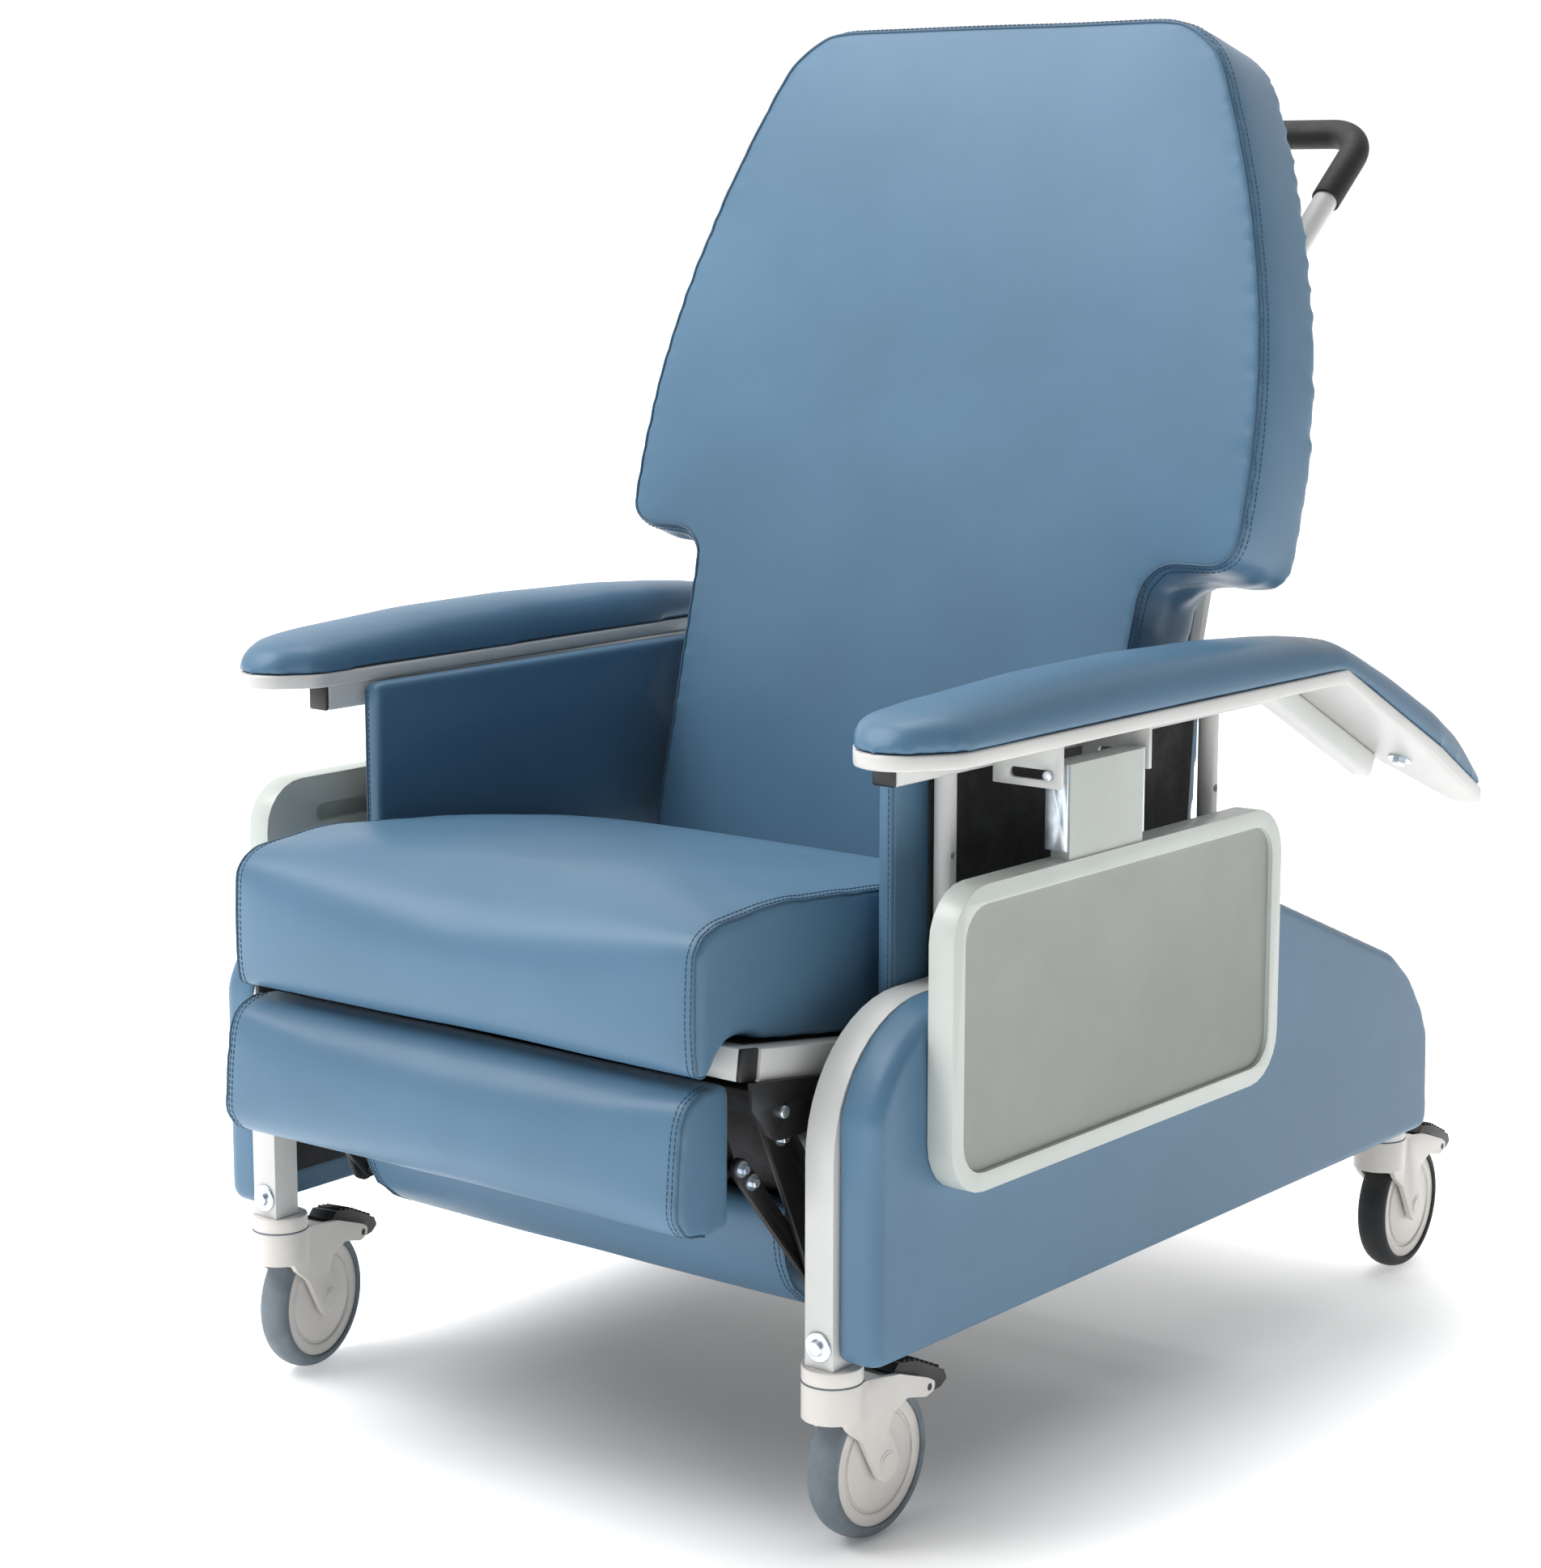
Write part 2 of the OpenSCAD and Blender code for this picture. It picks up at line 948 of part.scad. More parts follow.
// (y, z) outline of a fork cheek with its brake arm
module cheek_outline() {
    rounded([[-10, 136], [-12, 112], [-4, 100], [12, 88], [trail - 12, wheel_r - 8],
             [trail - 5, wheel_r - 15], [trail + 8, wheel_r - 14], [trail + 15, wheel_r - 2],
             [trail + 9, wheel_r + 14], [44, 88], [50, 101], [68, 108],
             brake_pin + [-4, -7], brake_pin + [6, -4], brake_pin + [7, 3],
             brake_pin + [-2, 8], [58, 130], [20, 136]], 4);
}

// swivelling fork with its axle and the arms of the brake housing
module fork(row, side) {
    top = leg_bottom - collar_t - 0.5;
    fork_z = 108;
    color(cream)
    on_castor(row, side)
    difference() {
        union() {
            translate([0, 0, fork_z])
            cylinder(d = collar_d, h = top - fork_z);
            slab(-cheek_out, cheek_out)
            cheek_outline();
            bar_x(-cheek_out - 0.5, cheek_out + 0.5, trail, wheel_r, 20);
        }
        translate([0, 0, stem_bottom - 1])
        cylinder(d = stem_d + 2 * fit, h = 40);
        bar_x(-cheek_in, cheek_in, trail, wheel_r, wheel_d + 6);
        translate([-cheek_in, 40, 88])
        cube([2 * cheek_in, 80, 52]);
        bar_x(-cheek_out - 1, cheek_out + 1, brake_pin[0], brake_pin[1], brake_pin_d);
    }
    color(zinc)
    on_castor(row, side)
    bar_x(-cheek_in - 1, cheek_in + 1, trail, wheel_r, axle_d);
}

// plastic wheel centre running on the axle, with a ring groove in each face
module wheel(row, side) {
    half = tyre_w / 2 - 2;
    groove = [39, 42, 2];
    color(cream)
    on_castor(row, side)
    translate([0, trail, wheel_r])
    rotate([0, 90, 0])
    difference() {
        translate([0, 0, -half])
        cylinder(r = rim_r, h = 2 * half);
        for (end = [0, 1])
            mirror([0, 0, end])
            translate([0, 0, half - groove[2]])
            difference() {
                cylinder(r = groove[1], h = 5);
                translate([0, 0, -1])
                cylinder(r = groove[0], h = 7);
            }
        translate([0, 0, -tyre_w])
        cylinder(d = axle_d + 2 * fit, h = 2 * tyre_w);
    }
}

// rubber tyre around the wheel centre
module tyre(row, side) {
    tread_r = 8;
    color(row == "front" ? rubber : black)
    on_castor(row, side)
    translate([0, trail, wheel_r])
    rotate([0, 90, 0])
    rotate_extrude()
    difference() {
        hull() {
            translate([rim_r, -tyre_w / 2 + 3])
            square([3, tyre_w - 6]);
            translate([wheel_r - tread_r, 0])
            scale([1, tyre_w / (2 * tread_r)])
            circle(r = tread_r);
        }
        translate([0, -tyre_w])
        square([rim_r, 2 * tyre_w]);
    }
}

// brake pedal on its pivot pin
module pedal(row, side) {
    pin_half = cheek_out - 0.5;
    color(black)
    on_castor(row, side) {
        slab(-cheek_in + 2.5, cheek_in - 2.5)
        rounded([[58, 128], [66, 135], [88, 131], [pedal_reach - 4, 114], [pedal_reach, 106],
                 [pedal_reach - 8, 101], [108, 100], [98, 104], [84, 114]], 2);
        bar_x(-pin_half, pin_half, brake_pin[0], brake_pin[1], brake_pin_d - 2 * fit);
    }
}

on_side(1) side_frame();  // side_frame_left
on_side(-1) side_frame();  // side_frame_right
on_side(1) side_panel();  // side_panel_left
on_side(-1) side_panel();  // side_panel_right
panel_boards();
post_sleeves();
cross_tubes();
seat_frame();
seat_rail_caps();
seat_deck();
seat_cushion();
recline_brackets();
leg_mounts();
frame_bolts();
castor_stems();
back_frame();
back_board();
back_cushion();
push_handle();
handle_grip();
arm_rail(1);  // arm_rail_left
arm_cap(1);  // arm_cap_left
arm_posts(1);  // arm_posts_left
arm_base(1);  // arm_base_left
arm_pad(1);  // arm_pad_left
arm_panel(1);  // arm_panel_left
tray_bracket(1);  // tray_bracket_left
tray(1);  // tray_left
tray_brace(1);  // tray_brace_left
arm_rail(-1);  // arm_rail_right
arm_cap(-1);  // arm_cap_right
arm_posts(-1);  // arm_posts_right
arm_base(-1);  // arm_base_right
arm_pad(-1);  // arm_pad_right
arm_panel(-1);  // arm_panel_right
tray_bracket(-1);  // tray_bracket_right
tray(-1);  // tray_right
tray_brace(-1);  // tray_brace_right
rear_links();
mid_board();
mid_pad();
front_links();
calf_board();
calf_pad();
fork("front", 1);  // fork_front_left
wheel("front", 1);  // wheel_front_left
tyre("front", 1);  // tyre_front_left
pedal("front", 1);  // pedal_front_left
fork("front", -1);  // fork_front_right
wheel("front", -1);  // wheel_front_right
tyre("front", -1);  // tyre_front_right
pedal("front", -1);  // pedal_front_right
fork("rear", 1);  // fork_rear_left
wheel("rear", 1);  // wheel_rear_left
tyre("rear", 1);  // tyre_rear_left
pedal("rear", 1);  // pedal_rear_left
fork("rear", -1);  // fork_rear_right
wheel("rear", -1);  // wheel_rear_right
tyre("rear", -1);  // tyre_rear_right
pedal("rear", -1);  // pedal_rear_right
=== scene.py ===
"""Looks of the patient recliner chair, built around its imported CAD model. Metres, +Z up."""

import json
import math

import bmesh
import bpy
import numpy as np
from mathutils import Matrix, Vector, noise
from mathutils.bvhtree import BVHTree


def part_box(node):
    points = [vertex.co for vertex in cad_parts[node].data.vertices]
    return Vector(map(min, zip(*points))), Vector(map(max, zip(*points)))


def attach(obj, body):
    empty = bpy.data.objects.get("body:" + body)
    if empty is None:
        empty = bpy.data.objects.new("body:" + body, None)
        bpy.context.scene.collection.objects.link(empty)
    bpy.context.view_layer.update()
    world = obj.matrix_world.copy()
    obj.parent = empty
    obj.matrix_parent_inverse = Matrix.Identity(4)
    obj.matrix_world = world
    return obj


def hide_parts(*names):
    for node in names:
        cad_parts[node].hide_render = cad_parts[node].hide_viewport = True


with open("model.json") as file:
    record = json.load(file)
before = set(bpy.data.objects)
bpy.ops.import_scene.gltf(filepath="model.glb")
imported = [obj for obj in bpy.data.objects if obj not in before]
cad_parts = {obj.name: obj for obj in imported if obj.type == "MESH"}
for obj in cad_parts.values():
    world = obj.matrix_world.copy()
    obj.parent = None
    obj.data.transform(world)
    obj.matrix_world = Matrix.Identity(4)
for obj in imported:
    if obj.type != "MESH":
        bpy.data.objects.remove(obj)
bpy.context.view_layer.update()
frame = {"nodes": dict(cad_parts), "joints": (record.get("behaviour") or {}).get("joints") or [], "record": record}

MM = 0.001
LEG_TO_ORIGIN = 452  # the part's origin lies this far behind the front legs, in mm
SIDES = {"left": 1, "right": -1}
ROWS = ("front", "rear")
JOIN_DISTANCE = 2e-6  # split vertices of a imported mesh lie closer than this, in metres


def at(x, y, z):
    """A point given in mm from the front legs and the floor, in the row frame."""
    return Vector((x * MM, (y - LEG_TO_ORIGIN) * MM, z * MM))


# ---------- materials ----------


class Nodes:
    """Small helper for building a node material."""

    def __init__(self, name):
        self.material = bpy.data.materials.new(name)
        self.material.use_nodes = True
        self.tree = self.material.node_tree
        self.shader = self.tree.nodes["Principled BSDF"]
        self.coords = self.add("ShaderNodeTexCoord").outputs["Object"]

    def add(self, kind, **values):
        made = self.tree.nodes.new(kind)
        for key, value in values.items():
            if key in made.inputs:
                made.inputs[key].default_value = value
            else:
                setattr(made, key, value)
        return made

    def link(self, source, target):
        self.tree.links.new(source, target)

    def noise(self, scale, detail=3.0, roughness=0.5):
        made = self.add("ShaderNodeTexNoise", Scale=scale, Detail=detail, Roughness=roughness)
        self.link(self.coords, made.inputs["Vector"])
        return made.outputs["Fac"]

    def ramp(self, factor, stops):
        made = self.add("ShaderNodeValToRGB")
        elements = made.color_ramp.elements
        while len(elements) < len(stops):
            elements.new(0.5)
        for element, (position, colour) in zip(elements, stops):
            element.position = position
            element.color = (*colour, 1.0)
        self.link(factor, made.inputs["Fac"])
        return made.outputs["Color"]

    def colour(self, factor, low, high, spread=(0.35, 0.65)):
        stops = ((spread[0], low), (spread[1], high))
        self.link(self.ramp(factor, stops), self.shader.inputs["Base Color"])

    def roughness(self, factor, low, high):
        made = self.add("ShaderNodeMapRange")
        made.inputs["To Min"].default_value = low
        made.inputs["To Max"].default_value = high
        self.link(factor, made.inputs["Value"])
        self.link(made.outputs["Result"], self.shader.inputs["Roughness"])

    def bump(self, height, distance, strength=1.0, under=None):
        made = self.add("ShaderNodeBump", Strength=strength, Distance=distance)
        self.link(height, made.inputs["Height"])
        if under is not None:
            self.link(under, made.inputs["Normal"])
        return made.outputs["Normal"]

    def finish(self, normal=None, **sockets):
        if normal is not None:
            self.link(normal, self.shader.inputs["Normal"])
        for key, value in sockets.items():
            self.shader.inputs[key.replace("_", " ")].default_value = value
        return self.material


def shade(colour, factor):
    return tuple(c * factor for c in colour)


def vinyl_material(name, colour):
    """Smooth upholstery vinyl with a fine pebble grain."""
    n = Nodes(name)
    cells = n.add("ShaderNodeTexVoronoi", Scale=1100.0, feature="SMOOTH_F1")
    n.link(n.coords, cells.inputs["Vector"])
    n.colour(n.noise(7.0, 4.0), shade(colour, 0.95), shade(colour, 1.05))
    n.roughness(n.noise(260.0, 2.0), 0.36, 0.46)
    soft = n.bump(n.noise(30.0, 2.0), 0.0006, 0.25)
    grain = n.bump(cells.outputs["Distance"], 0.00012, 0.5, soft)
    return n.finish(grain, Specular_IOR_Level=0.3, Coat_Weight=0.06, Coat_Roughness=0.25)


def paint_material(name, colour, rough=0.34, peel=0.00005):
    """Powder coat with a light orange peel and slight shade changes."""
    n = Nodes(name)
    n.colour(n.noise(9.0, 3.0), shade(colour, 0.96), shade(colour, 1.03))
    n.roughness(n.noise(90.0), rough - 0.05, rough + 0.06)
    peel_normal = n.bump(n.noise(420.0, 2.0), peel, 0.6)
    return n.finish(peel_normal)


def plastic_material(name, colour, rough=0.42, grain=0.00006):
    """Moulded plastic with a fine spark-eroded grain."""
    n = Nodes(name)
    n.colour(n.noise(12.0, 4.0), shade(colour, 0.96), shade(colour, 1.03))
    n.roughness(n.noise(60.0), rough - 0.06, rough + 0.06)
    normal = n.bump(n.noise(1500.0, 1.0), grain, 0.7)
    return n.finish(normal)


def zinc_material():
    """Bluish bright zinc plate with faint blotches."""
    n = Nodes("zinc_plate")
    n.colour(n.noise(70.0, 5.0), (0.50, 0.58, 0.66), (0.74, 0.80, 0.85))
    n.roughness(n.noise(130.0, 4.0), 0.22, 0.42)
    return n.finish(n.bump(n.noise(500.0), 0.00003, 0.5), Metallic=0.9)


def board_material():
    """Black stained plywood under a dust cloth."""
    n = Nodes("black_board")
    weave = n.add("ShaderNodeTexWave", Scale=280.0, Distortion=1.5)
    n.link(n.coords, weave.inputs["Vector"])
    n.colour(n.noise(40.0, 5.0), (0.010, 0.010, 0.011), (0.028, 0.028, 0.031))
    n.roughness(n.noise(200.0), 0.72, 0.88)
    return n.finish(n.bump(weave.outputs["Fac"], 0.0002, 0.4))


def rubber_material(name, colour):
    """Tyre or foam rubber with a dull mottled surface."""
    n = Nodes(name)
    n.colour(n.noise(55.0, 5.0), shade(colour, 0.88), shade(colour, 1.10))
    n.roughness(n.noise(160.0), 0.55, 0.72)
    return n.finish(n.bump(n.noise(700.0, 3.0), 0.0002, 0.6))


def painted_shadow_floor_material():
    """Pale studio floor with painted light: it glows away from the chair, and a painted shadow stays round the
    chair's footprint where it does not glow.
    """
    n = Nodes("floor_with_painted_shadow")
    n.colour(n.noise(2.0), (0.90, 0.90, 0.90), (0.93, 0.93, 0.93))
    n.roughness(n.noise(6.0), 0.55, 0.65)
    # painted shadow: no glow inside a box round the chair's footprint, full glow 0.45 m beyond it
    shift = n.add("ShaderNodeVectorMath", operation="SUBTRACT")
    shift.inputs[1].default_value = (0.06, -0.06, 0)
    fold = n.add("ShaderNodeVectorMath", operation="ABSOLUTE")
    beyond = n.add("ShaderNodeVectorMath", operation="SUBTRACT")
    beyond.inputs[1].default_value = (0.18, 0.30, 0)
    outside = n.add("ShaderNodeVectorMath", operation="MAXIMUM")
    reach = n.add("ShaderNodeVectorMath", operation="LENGTH")
    painted_glow = n.add("ShaderNodeMapRange", interpolation_type="SMOOTHSTEP")
    painted_glow.inputs["From Max"].default_value = 0.45
    n.link(n.coords, shift.inputs[0])
    for source, target in ((shift, fold), (fold, beyond), (beyond, outside), (outside, reach)):
        n.link(source.outputs["Vector"], target.inputs[0])
    n.link(reach.outputs["Value"], painted_glow.inputs["Value"])
    n.link(painted_glow.outputs["Result"], n.shader.inputs["Emission Strength"])
    return n.finish(Specular_IOR_Level=0.1, Emission_Color=(1, 1, 1, 1))


BLUE = (0.080, 0.168, 0.262)
VINYL = vinyl_material("blue_vinyl", BLUE)
WELT = vinyl_material("blue_vinyl_seam", shade(BLUE, 0.62))
PAINT = paint_material("grey_powder_coat", (0.60, 0.61, 0.595))
BLACK_STEEL = paint_material("black_paint", (0.012, 0.012, 0.013), rough=0.4)
ZINC = zinc_material()
BOARD = board_material()
TRAY = plastic_material("tray_rim_plastic", (0.52, 0.56, 0.53), rough=0.32)
# darker copy of the tray plastic for the recessed tray faces: painted shade
TRAY_FACE_PAINTED_SHADE = plastic_material("tray_face_painted_shade", (0.27, 0.29, 0.27), rough=0.5)
CREAM = plastic_material("cream_plastic", (0.72, 0.69, 0.65), rough=0.34)
BASE = plastic_material("arm_base_plastic", (0.60, 0.60, 0.585), rough=0.4)
BLACK = plastic_material("black_plastic", (0.012, 0.012, 0.013), rough=0.45)
FOAM = rubber_material("foam_grip", (0.013, 0.013, 0.014))
GREY_TYRE = rubber_material("grey_tyre", (0.150, 0.185, 0.215))
# near-black copy of the tyre rubber for the rear tyres: painted shade, since those tyres stand in shadow
TYRE_PAINTED_SHADE = rubber_material("tyre_painted_shade", (0.016, 0.018, 0.021))
THREAD = rubber_material("stitch_thread", (0.035, 0.075, 0.130))


# ---------- mesh helpers ----------


def new_object(name, mesh, material):
    made = bpy.data.objects.new(name, mesh)
    bpy.context.scene.collection.objects.link(made)
    made.data.materials.clear()
    made.data.materials.append(material)
    return made


def from_bmesh(name, bm, material, smooth=True):
    mesh = bpy.data.meshes.new(name)
    bm.normal_update()
    bm.to_mesh(mesh)
    bm.free()
    for polygon in mesh.polygons:
        polygon.use_smooth = smooth
    return new_object(name, mesh, material)


def cad_copy(node, name, material):
    """A copy of a CAD node's mesh with its split vertices joined."""
    bm = bmesh.new()
    bm.from_mesh(frame["nodes"][node].data)
    bmesh.ops.remove_doubles(bm, verts=bm.verts, dist=JOIN_DISTANCE)
    return from_bmesh(name, bm, material)


def baked(obj):
    """Replaces an object's mesh by what its modifiers make of it."""
    graph = bpy.context.evaluated_depsgraph_get()
    graph.update()
    mesh = bpy.data.meshes.new_from_object(obj.evaluated_get(graph))
    obj.modifiers.clear()
    obj.data = mesh
    return obj


def coords_of(obj):
    flat = np.zeros(len(obj.data.vertices) * 3)
    obj.data.vertices.foreach_get("co", flat)
    return flat.reshape(-1, 3)


def set_coords(obj, coords):
    obj.data.vertices.foreach_set("co", coords.reshape(-1))
    obj.data.update()


def smooth_by_angle(obj, degrees=38):
    obj.data.set_sharp_from_angle(angle=math.radians(degrees))


def settle(obj, body, slot, *nodes):
    """Rides an object on its body and hides the CAD nodes it stands for; the slot argument is not used."""
    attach(obj, body)
    if nodes:
        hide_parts(*nodes)
    return obj


def paint_recess_shade(obj, material, depth=4, slack=0.3):
    """Gives the face of a tray that lies "depth" mm below its rim a darker copy of the tray plastic: painted
    shade.
    """
    obj.data.materials.append(material)
    face_x = np.abs(coords_of(obj)[:, 0]).max() - depth * MM
    for polygon in obj.data.polygons:
        sunk = abs(abs(polygon.center.x) - face_x) < slack * MM
        if sunk and abs(polygon.normal.x) > 0.9:
            polygon.material_index = 1


def refine(node, body, slot, material, bevel, segments):
    """A CAD node with its coplanar faces joined and its edges rounded."""
    obj = cad_copy(node, node + "_look", material)
    bm = bmesh.new()
    bm.from_mesh(obj.data)
    flat = math.radians(1.0)
    bmesh.ops.dissolve_limit(bm, angle_limit=flat, verts=bm.verts, edges=bm.edges)
    bm.to_mesh(obj.data)
    bm.free()
    rounder = obj.modifiers.new("rounder", "BEVEL")
    rounder.width = bevel * MM
    rounder.segments = segments
    rounder.limit_method = "ANGLE"
    rounder.angle_limit = math.radians(40)
    rounder.use_clamp_overlap = True
    rounder.miter_outer = "MITER_ARC"
    baked(obj)
    for polygon in obj.data.polygons:
        polygon.use_smooth = True
    smooth_by_angle(obj)
    return settle(obj, body, slot, node)


# ---------- soft goods ----------

WELT_STEP = 6


def remesh(obj, voxel):
    tool = obj.modifiers.new("remesh", "REMESH")
    tool.mode = "VOXEL"
    tool.voxel_size = voxel * MM
    tool.use_smooth_shade = True
    return baked(obj)


def weigh(obj, name, weights):
    """A vertex group with weights from 0 to 1 in steps of a tenth."""
    group = obj.vertex_groups.new(name=name)
    for level in range(1, 11):
        members = np.nonzero(np.round(weights * 10) == level)[0]
        if len(members):
            group.add([int(i) for i in members], level / 10, "REPLACE")


def relax(obj, times, held=None):
    """Smooths a pad. held(coords) gives each point's hold from 0 to 1."""
    tool = obj.modifiers.new("relax", "SMOOTH")
    tool.iterations = times
    tool.factor = 0.5
    if held is not None:
        weigh(obj, "free", 1 - np.clip(held(coords_of(obj)), 0, 1))
        tool.vertex_group = "free"
    baked(obj)
    obj.vertex_groups.clear()
    return obj


def subdivide(obj):
    tool = obj.modifiers.new("subdivide", "SUBSURF")
    tool.levels = 1
    tool.render_levels = 1
    return baked(obj)


def inflate(obj, cap, held, pressure=4.0, frames=20):
    """Swells a closed pad with cloth pressure. held(coords) gives each point's hold from 0 to 1."""
    rest = coords_of(obj)
    hold = np.clip(held(rest), 0, 1)
    weigh(obj, "held", hold)
    cloth = obj.modifiers.new("cloth", "CLOTH")
    settings = cloth.settings
    settings.use_pressure = True
    settings.uniform_pressure_force = pressure
    settings.quality = 4
    settings.mass = 0.3
    settings.tension_stiffness = 25
    settings.compression_stiffness = 25
    settings.shear_stiffness = 12
    settings.bending_stiffness = 1.5
    settings.effector_weights.gravity = 0
    settings.vertex_group_mass = "held"
    cloth.collision_settings.use_collision = False
    scene = bpy.context.scene
    for step in range(1, frames + 1):
        scene.frame_set(step)
    graph = bpy.context.evaluated_depsgraph_get()
    blown = obj.evaluated_get(graph).to_mesh()
    flat = np.zeros(len(blown.vertices) * 3)
    blown.vertices.foreach_get("co", flat)
    move = flat.reshape(-1, 3) - rest
    length = np.linalg.norm(move, axis=1, keepdims=True)
    limit = np.maximum(cap * MM * (1 - hold[:, None]), 1e-9)
    scale = np.tanh(length / limit) * limit / np.maximum(length, 1e-9)
    obj.modifiers.clear()
    obj.vertex_groups.clear()
    set_coords(obj, rest + move * scale)
    scene.frame_set(1)
    return obj


def ripple(obj, height, scale, where=None):
    """Moves points along their normals by soft noise, the way stretched vinyl lies."""
    coords = coords_of(obj)
    normals = np.zeros(len(coords) * 3)
    obj.data.vertices.foreach_get("normal", normals)
    normals = normals.reshape(-1, 3)
    weight = np.ones(len(coords)) if where is None else where(coords)
    lift = np.array([noise.noise(Vector(c) * scale) for c in coords])
    set_coords(obj, coords + normals * (lift * weight * height * MM)[:, None])
    return obj


def surface_of(obj):
    bm = bmesh.new()
    bm.from_mesh(obj.data)
    tree = BVHTree.FromBMesh(bm)
    bm.free()
    return tree


def resample(points, step, closed=False):
    """Points an equal distance apart along a polyline."""
    path = [Vector(p) for p in points]
    if closed:
        path.append(path[0])
    lengths = [0.0]
    for a, b in zip(path, path[1:]):
        lengths.append(lengths[-1] + (b - a).length)
    count = max(2, int(round(lengths[-1] / step)))
    made = []
    i = 0
    for k in range(count + (0 if closed else 1)):
        s = lengths[-1] * k / count
        while i < len(path) - 2 and lengths[i + 1] < s:
            i += 1
        span = max(lengths[i + 1] - lengths[i], 1e-9)
        made.append(path[i].lerp(path[i + 1], (s - lengths[i]) / span))
    return made


def laid_on(tree, points):
    """(point, normal) pairs of the surface nearest to each point."""
    made = []
    for p in points:
        spot, normal, _, _ = tree.find_nearest(p)
        made.append((spot, normal))
    return made


def tube_mesh(bm, centres, radius, closed, sides=8):
    """Adds a round tube along the centres to a bmesh."""
    count = len(centres)
    last = None
    rings = []
    for i, c in enumerate(centres):
        before = centres[(i - 1) % count] if closed or i > 0 else c
        after = centres[(i + 1) % count] if closed or i < count - 1 else c
        along = (after - before).normalized()
        if last is None:
            across = along.orthogonal().normalized()
        else:
            across = (last - along * last.dot(along)).normalized()
        last = across
        other = along.cross(across)
        ring = []
        for k in range(sides):
            a = 2 * math.pi * k / sides
            ring.append(bm.verts.new(c + (across * math.cos(a) + other * math.sin(a)) * radius))
        rings.append(ring)
    for i in range(count if closed else count - 1):
        a, b = rings[i], rings[(i + 1) % count]
        for k in range(sides):
            bm.faces.new((a[k], a[(k + 1) % sides], b[(k + 1) % sides], b[k]))
    if not closed:
        bm.faces.new(list(reversed(rings[0])))
        bm.faces.new(rings[-1])


def seam(name, pad, lines, body, closed=False, radius=1.1, lift=0.4):
    """Sewn edge: a thin welt along each line, its middle "lift" radii above the pad."""
    tree = surface_of(pad)
    bm = bmesh.new()
    for line in lines:
        spots = laid_on(tree, resample(line, WELT_STEP * MM, closed))
        centres = [p + n * radius * lift * MM for p, n in spots]
        tube_mesh(bm, centres, radius * MM, closed)
    return settle(from_bmesh(name, bm, WELT), body, "vinyl")


def stitching(name, pad, lines, body, closed=False, pitch=5.0, length=3.4, radius=0.45):
    """Rows of thread stitches lying on the pad."""
    tree = surface_of(pad)
    bm = bmesh.new()
    for line in lines:
        spots = laid_on(tree, resample(line, pitch * MM, closed))
        for (a, na), (b, _) in zip(spots, spots[1:]):
            along = (b - a).normalized()
            middle = (a + b) / 2 + na * radius * 0.5 * MM
            half = along * length / 2 * MM
            tube_mesh(bm, [middle - half, middle, middle + half], radius * MM, False, 5)
    return settle(from_bmesh(name, bm, THREAD), body, "vinyl")


def mirrored(obj, name):
    """A copy of an object mirrored to the other side of the chair."""
    mesh = obj.data.copy()
    made = bpy.data.objects.new(name, mesh)
    bpy.context.scene.collection.objects.link(made)
    coords = coords_of(made)
    coords[:, 0] *= -1
    set_coords(made, coords)
    made.data.flip_normals()
    return made


def sew_ends(node, pad, body, half, profile, insets):
    """A seam and stitch rows round both ends of a pad, along a (y, z) profile in mm."""
    seams, rows = [], []
    for side in SIDES.values():
        seams.append([at(side * (half - 1), y, z) for y, z in profile])
        for inset in insets:
            rows.append([at(side * (half - inset), y, z) for y, z in profile])
    seam(node + "_seams", pad, seams, body)
    stitching(node + "_stitching", pad, rows, body)


def edge_hold(coords, low, high, margin):
    """Holds points near the x ends of a pad: 1 at the ends, 0 beyond the margin."""
    inside = np.minimum(coords[:, 0] - low, high - coords[:, 0]) / (margin * MM)
    return 1 - np.clip(inside, 0, 1)


# ---------- seat cushion ----------

SEAT_HALF = 250
SEAT_END = 9  # the sewn ends of the cushion are held over this width
SEAT_PROFILE = ((-60, 374), (-76, 378), (-80, 420), (-78, 474), (-68, 489), (-50, 496),
                (-20, 500), (30, 501), (161, 489), (300, 470), (425, 446))


def seat_underside(y):
    """Height of the sloping underside of the seat cushion, in mm."""
    return 404.4 - 0.14 * y


def seat_cushion():
    """Seat cushion with sewn ends: free to swell on top and in front, held where it is fixed."""
    low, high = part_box("seat_cushion")
    pad = remesh(cad_copy("seat_cushion", "seat_cushion_pad", VINYL), 5.5)
    relax(pad, 6)

    def ends(c):
        return edge_hold(c, low.x, high.x, SEAT_END)

    def held(c):
        y, z = c[:, 1] / MM + LEG_TO_ORIGIN, c[:, 2] / MM
        nose = np.clip((low.z / MM + 30 - z) / 20, 0, 1)
        deck = np.clip((seat_underside(y) - z) / 8, 0, 1) * (y > -46)
        rear = np.clip((y - 415) / 15, 0, 1)
        return np.maximum.reduce([ends(c), nose, deck, rear])

    inflate(pad, 12, held)
    relax(pad, 45, ends)
    ripple(pad, 0.9, 8.0)
    subdivide(pad)
    settle(pad, "base", "vinyl", "seat_cushion")
    sew_ends("seat_cushion", pad, "base", SEAT_HALF, SEAT_PROFILE, (5, 10))


# ---------- back cushion ----------

BACK_LEAN = math.radians(15.9)
BACK_FOOT = (442.7, 430)
BACK_BOXING = (4, 80)  # between these depths the sides of the cushion are free to swell
NOTCH_RISE, NOTCH_X = 275, 235  # where the wing meets the narrow lower part


def on_back(x, depth, rise):
    """A point in back coordinates: across, into the thickness and up the slope, in mm."""
    y = BACK_FOOT[0] + depth * math.cos(BACK_LEAN) + rise * math.sin(BACK_LEAN)
    z = BACK_FOOT[1] - depth * math.sin(BACK_LEAN) + rise * math.cos(BACK_LEAN)
    return at(x, y, z)


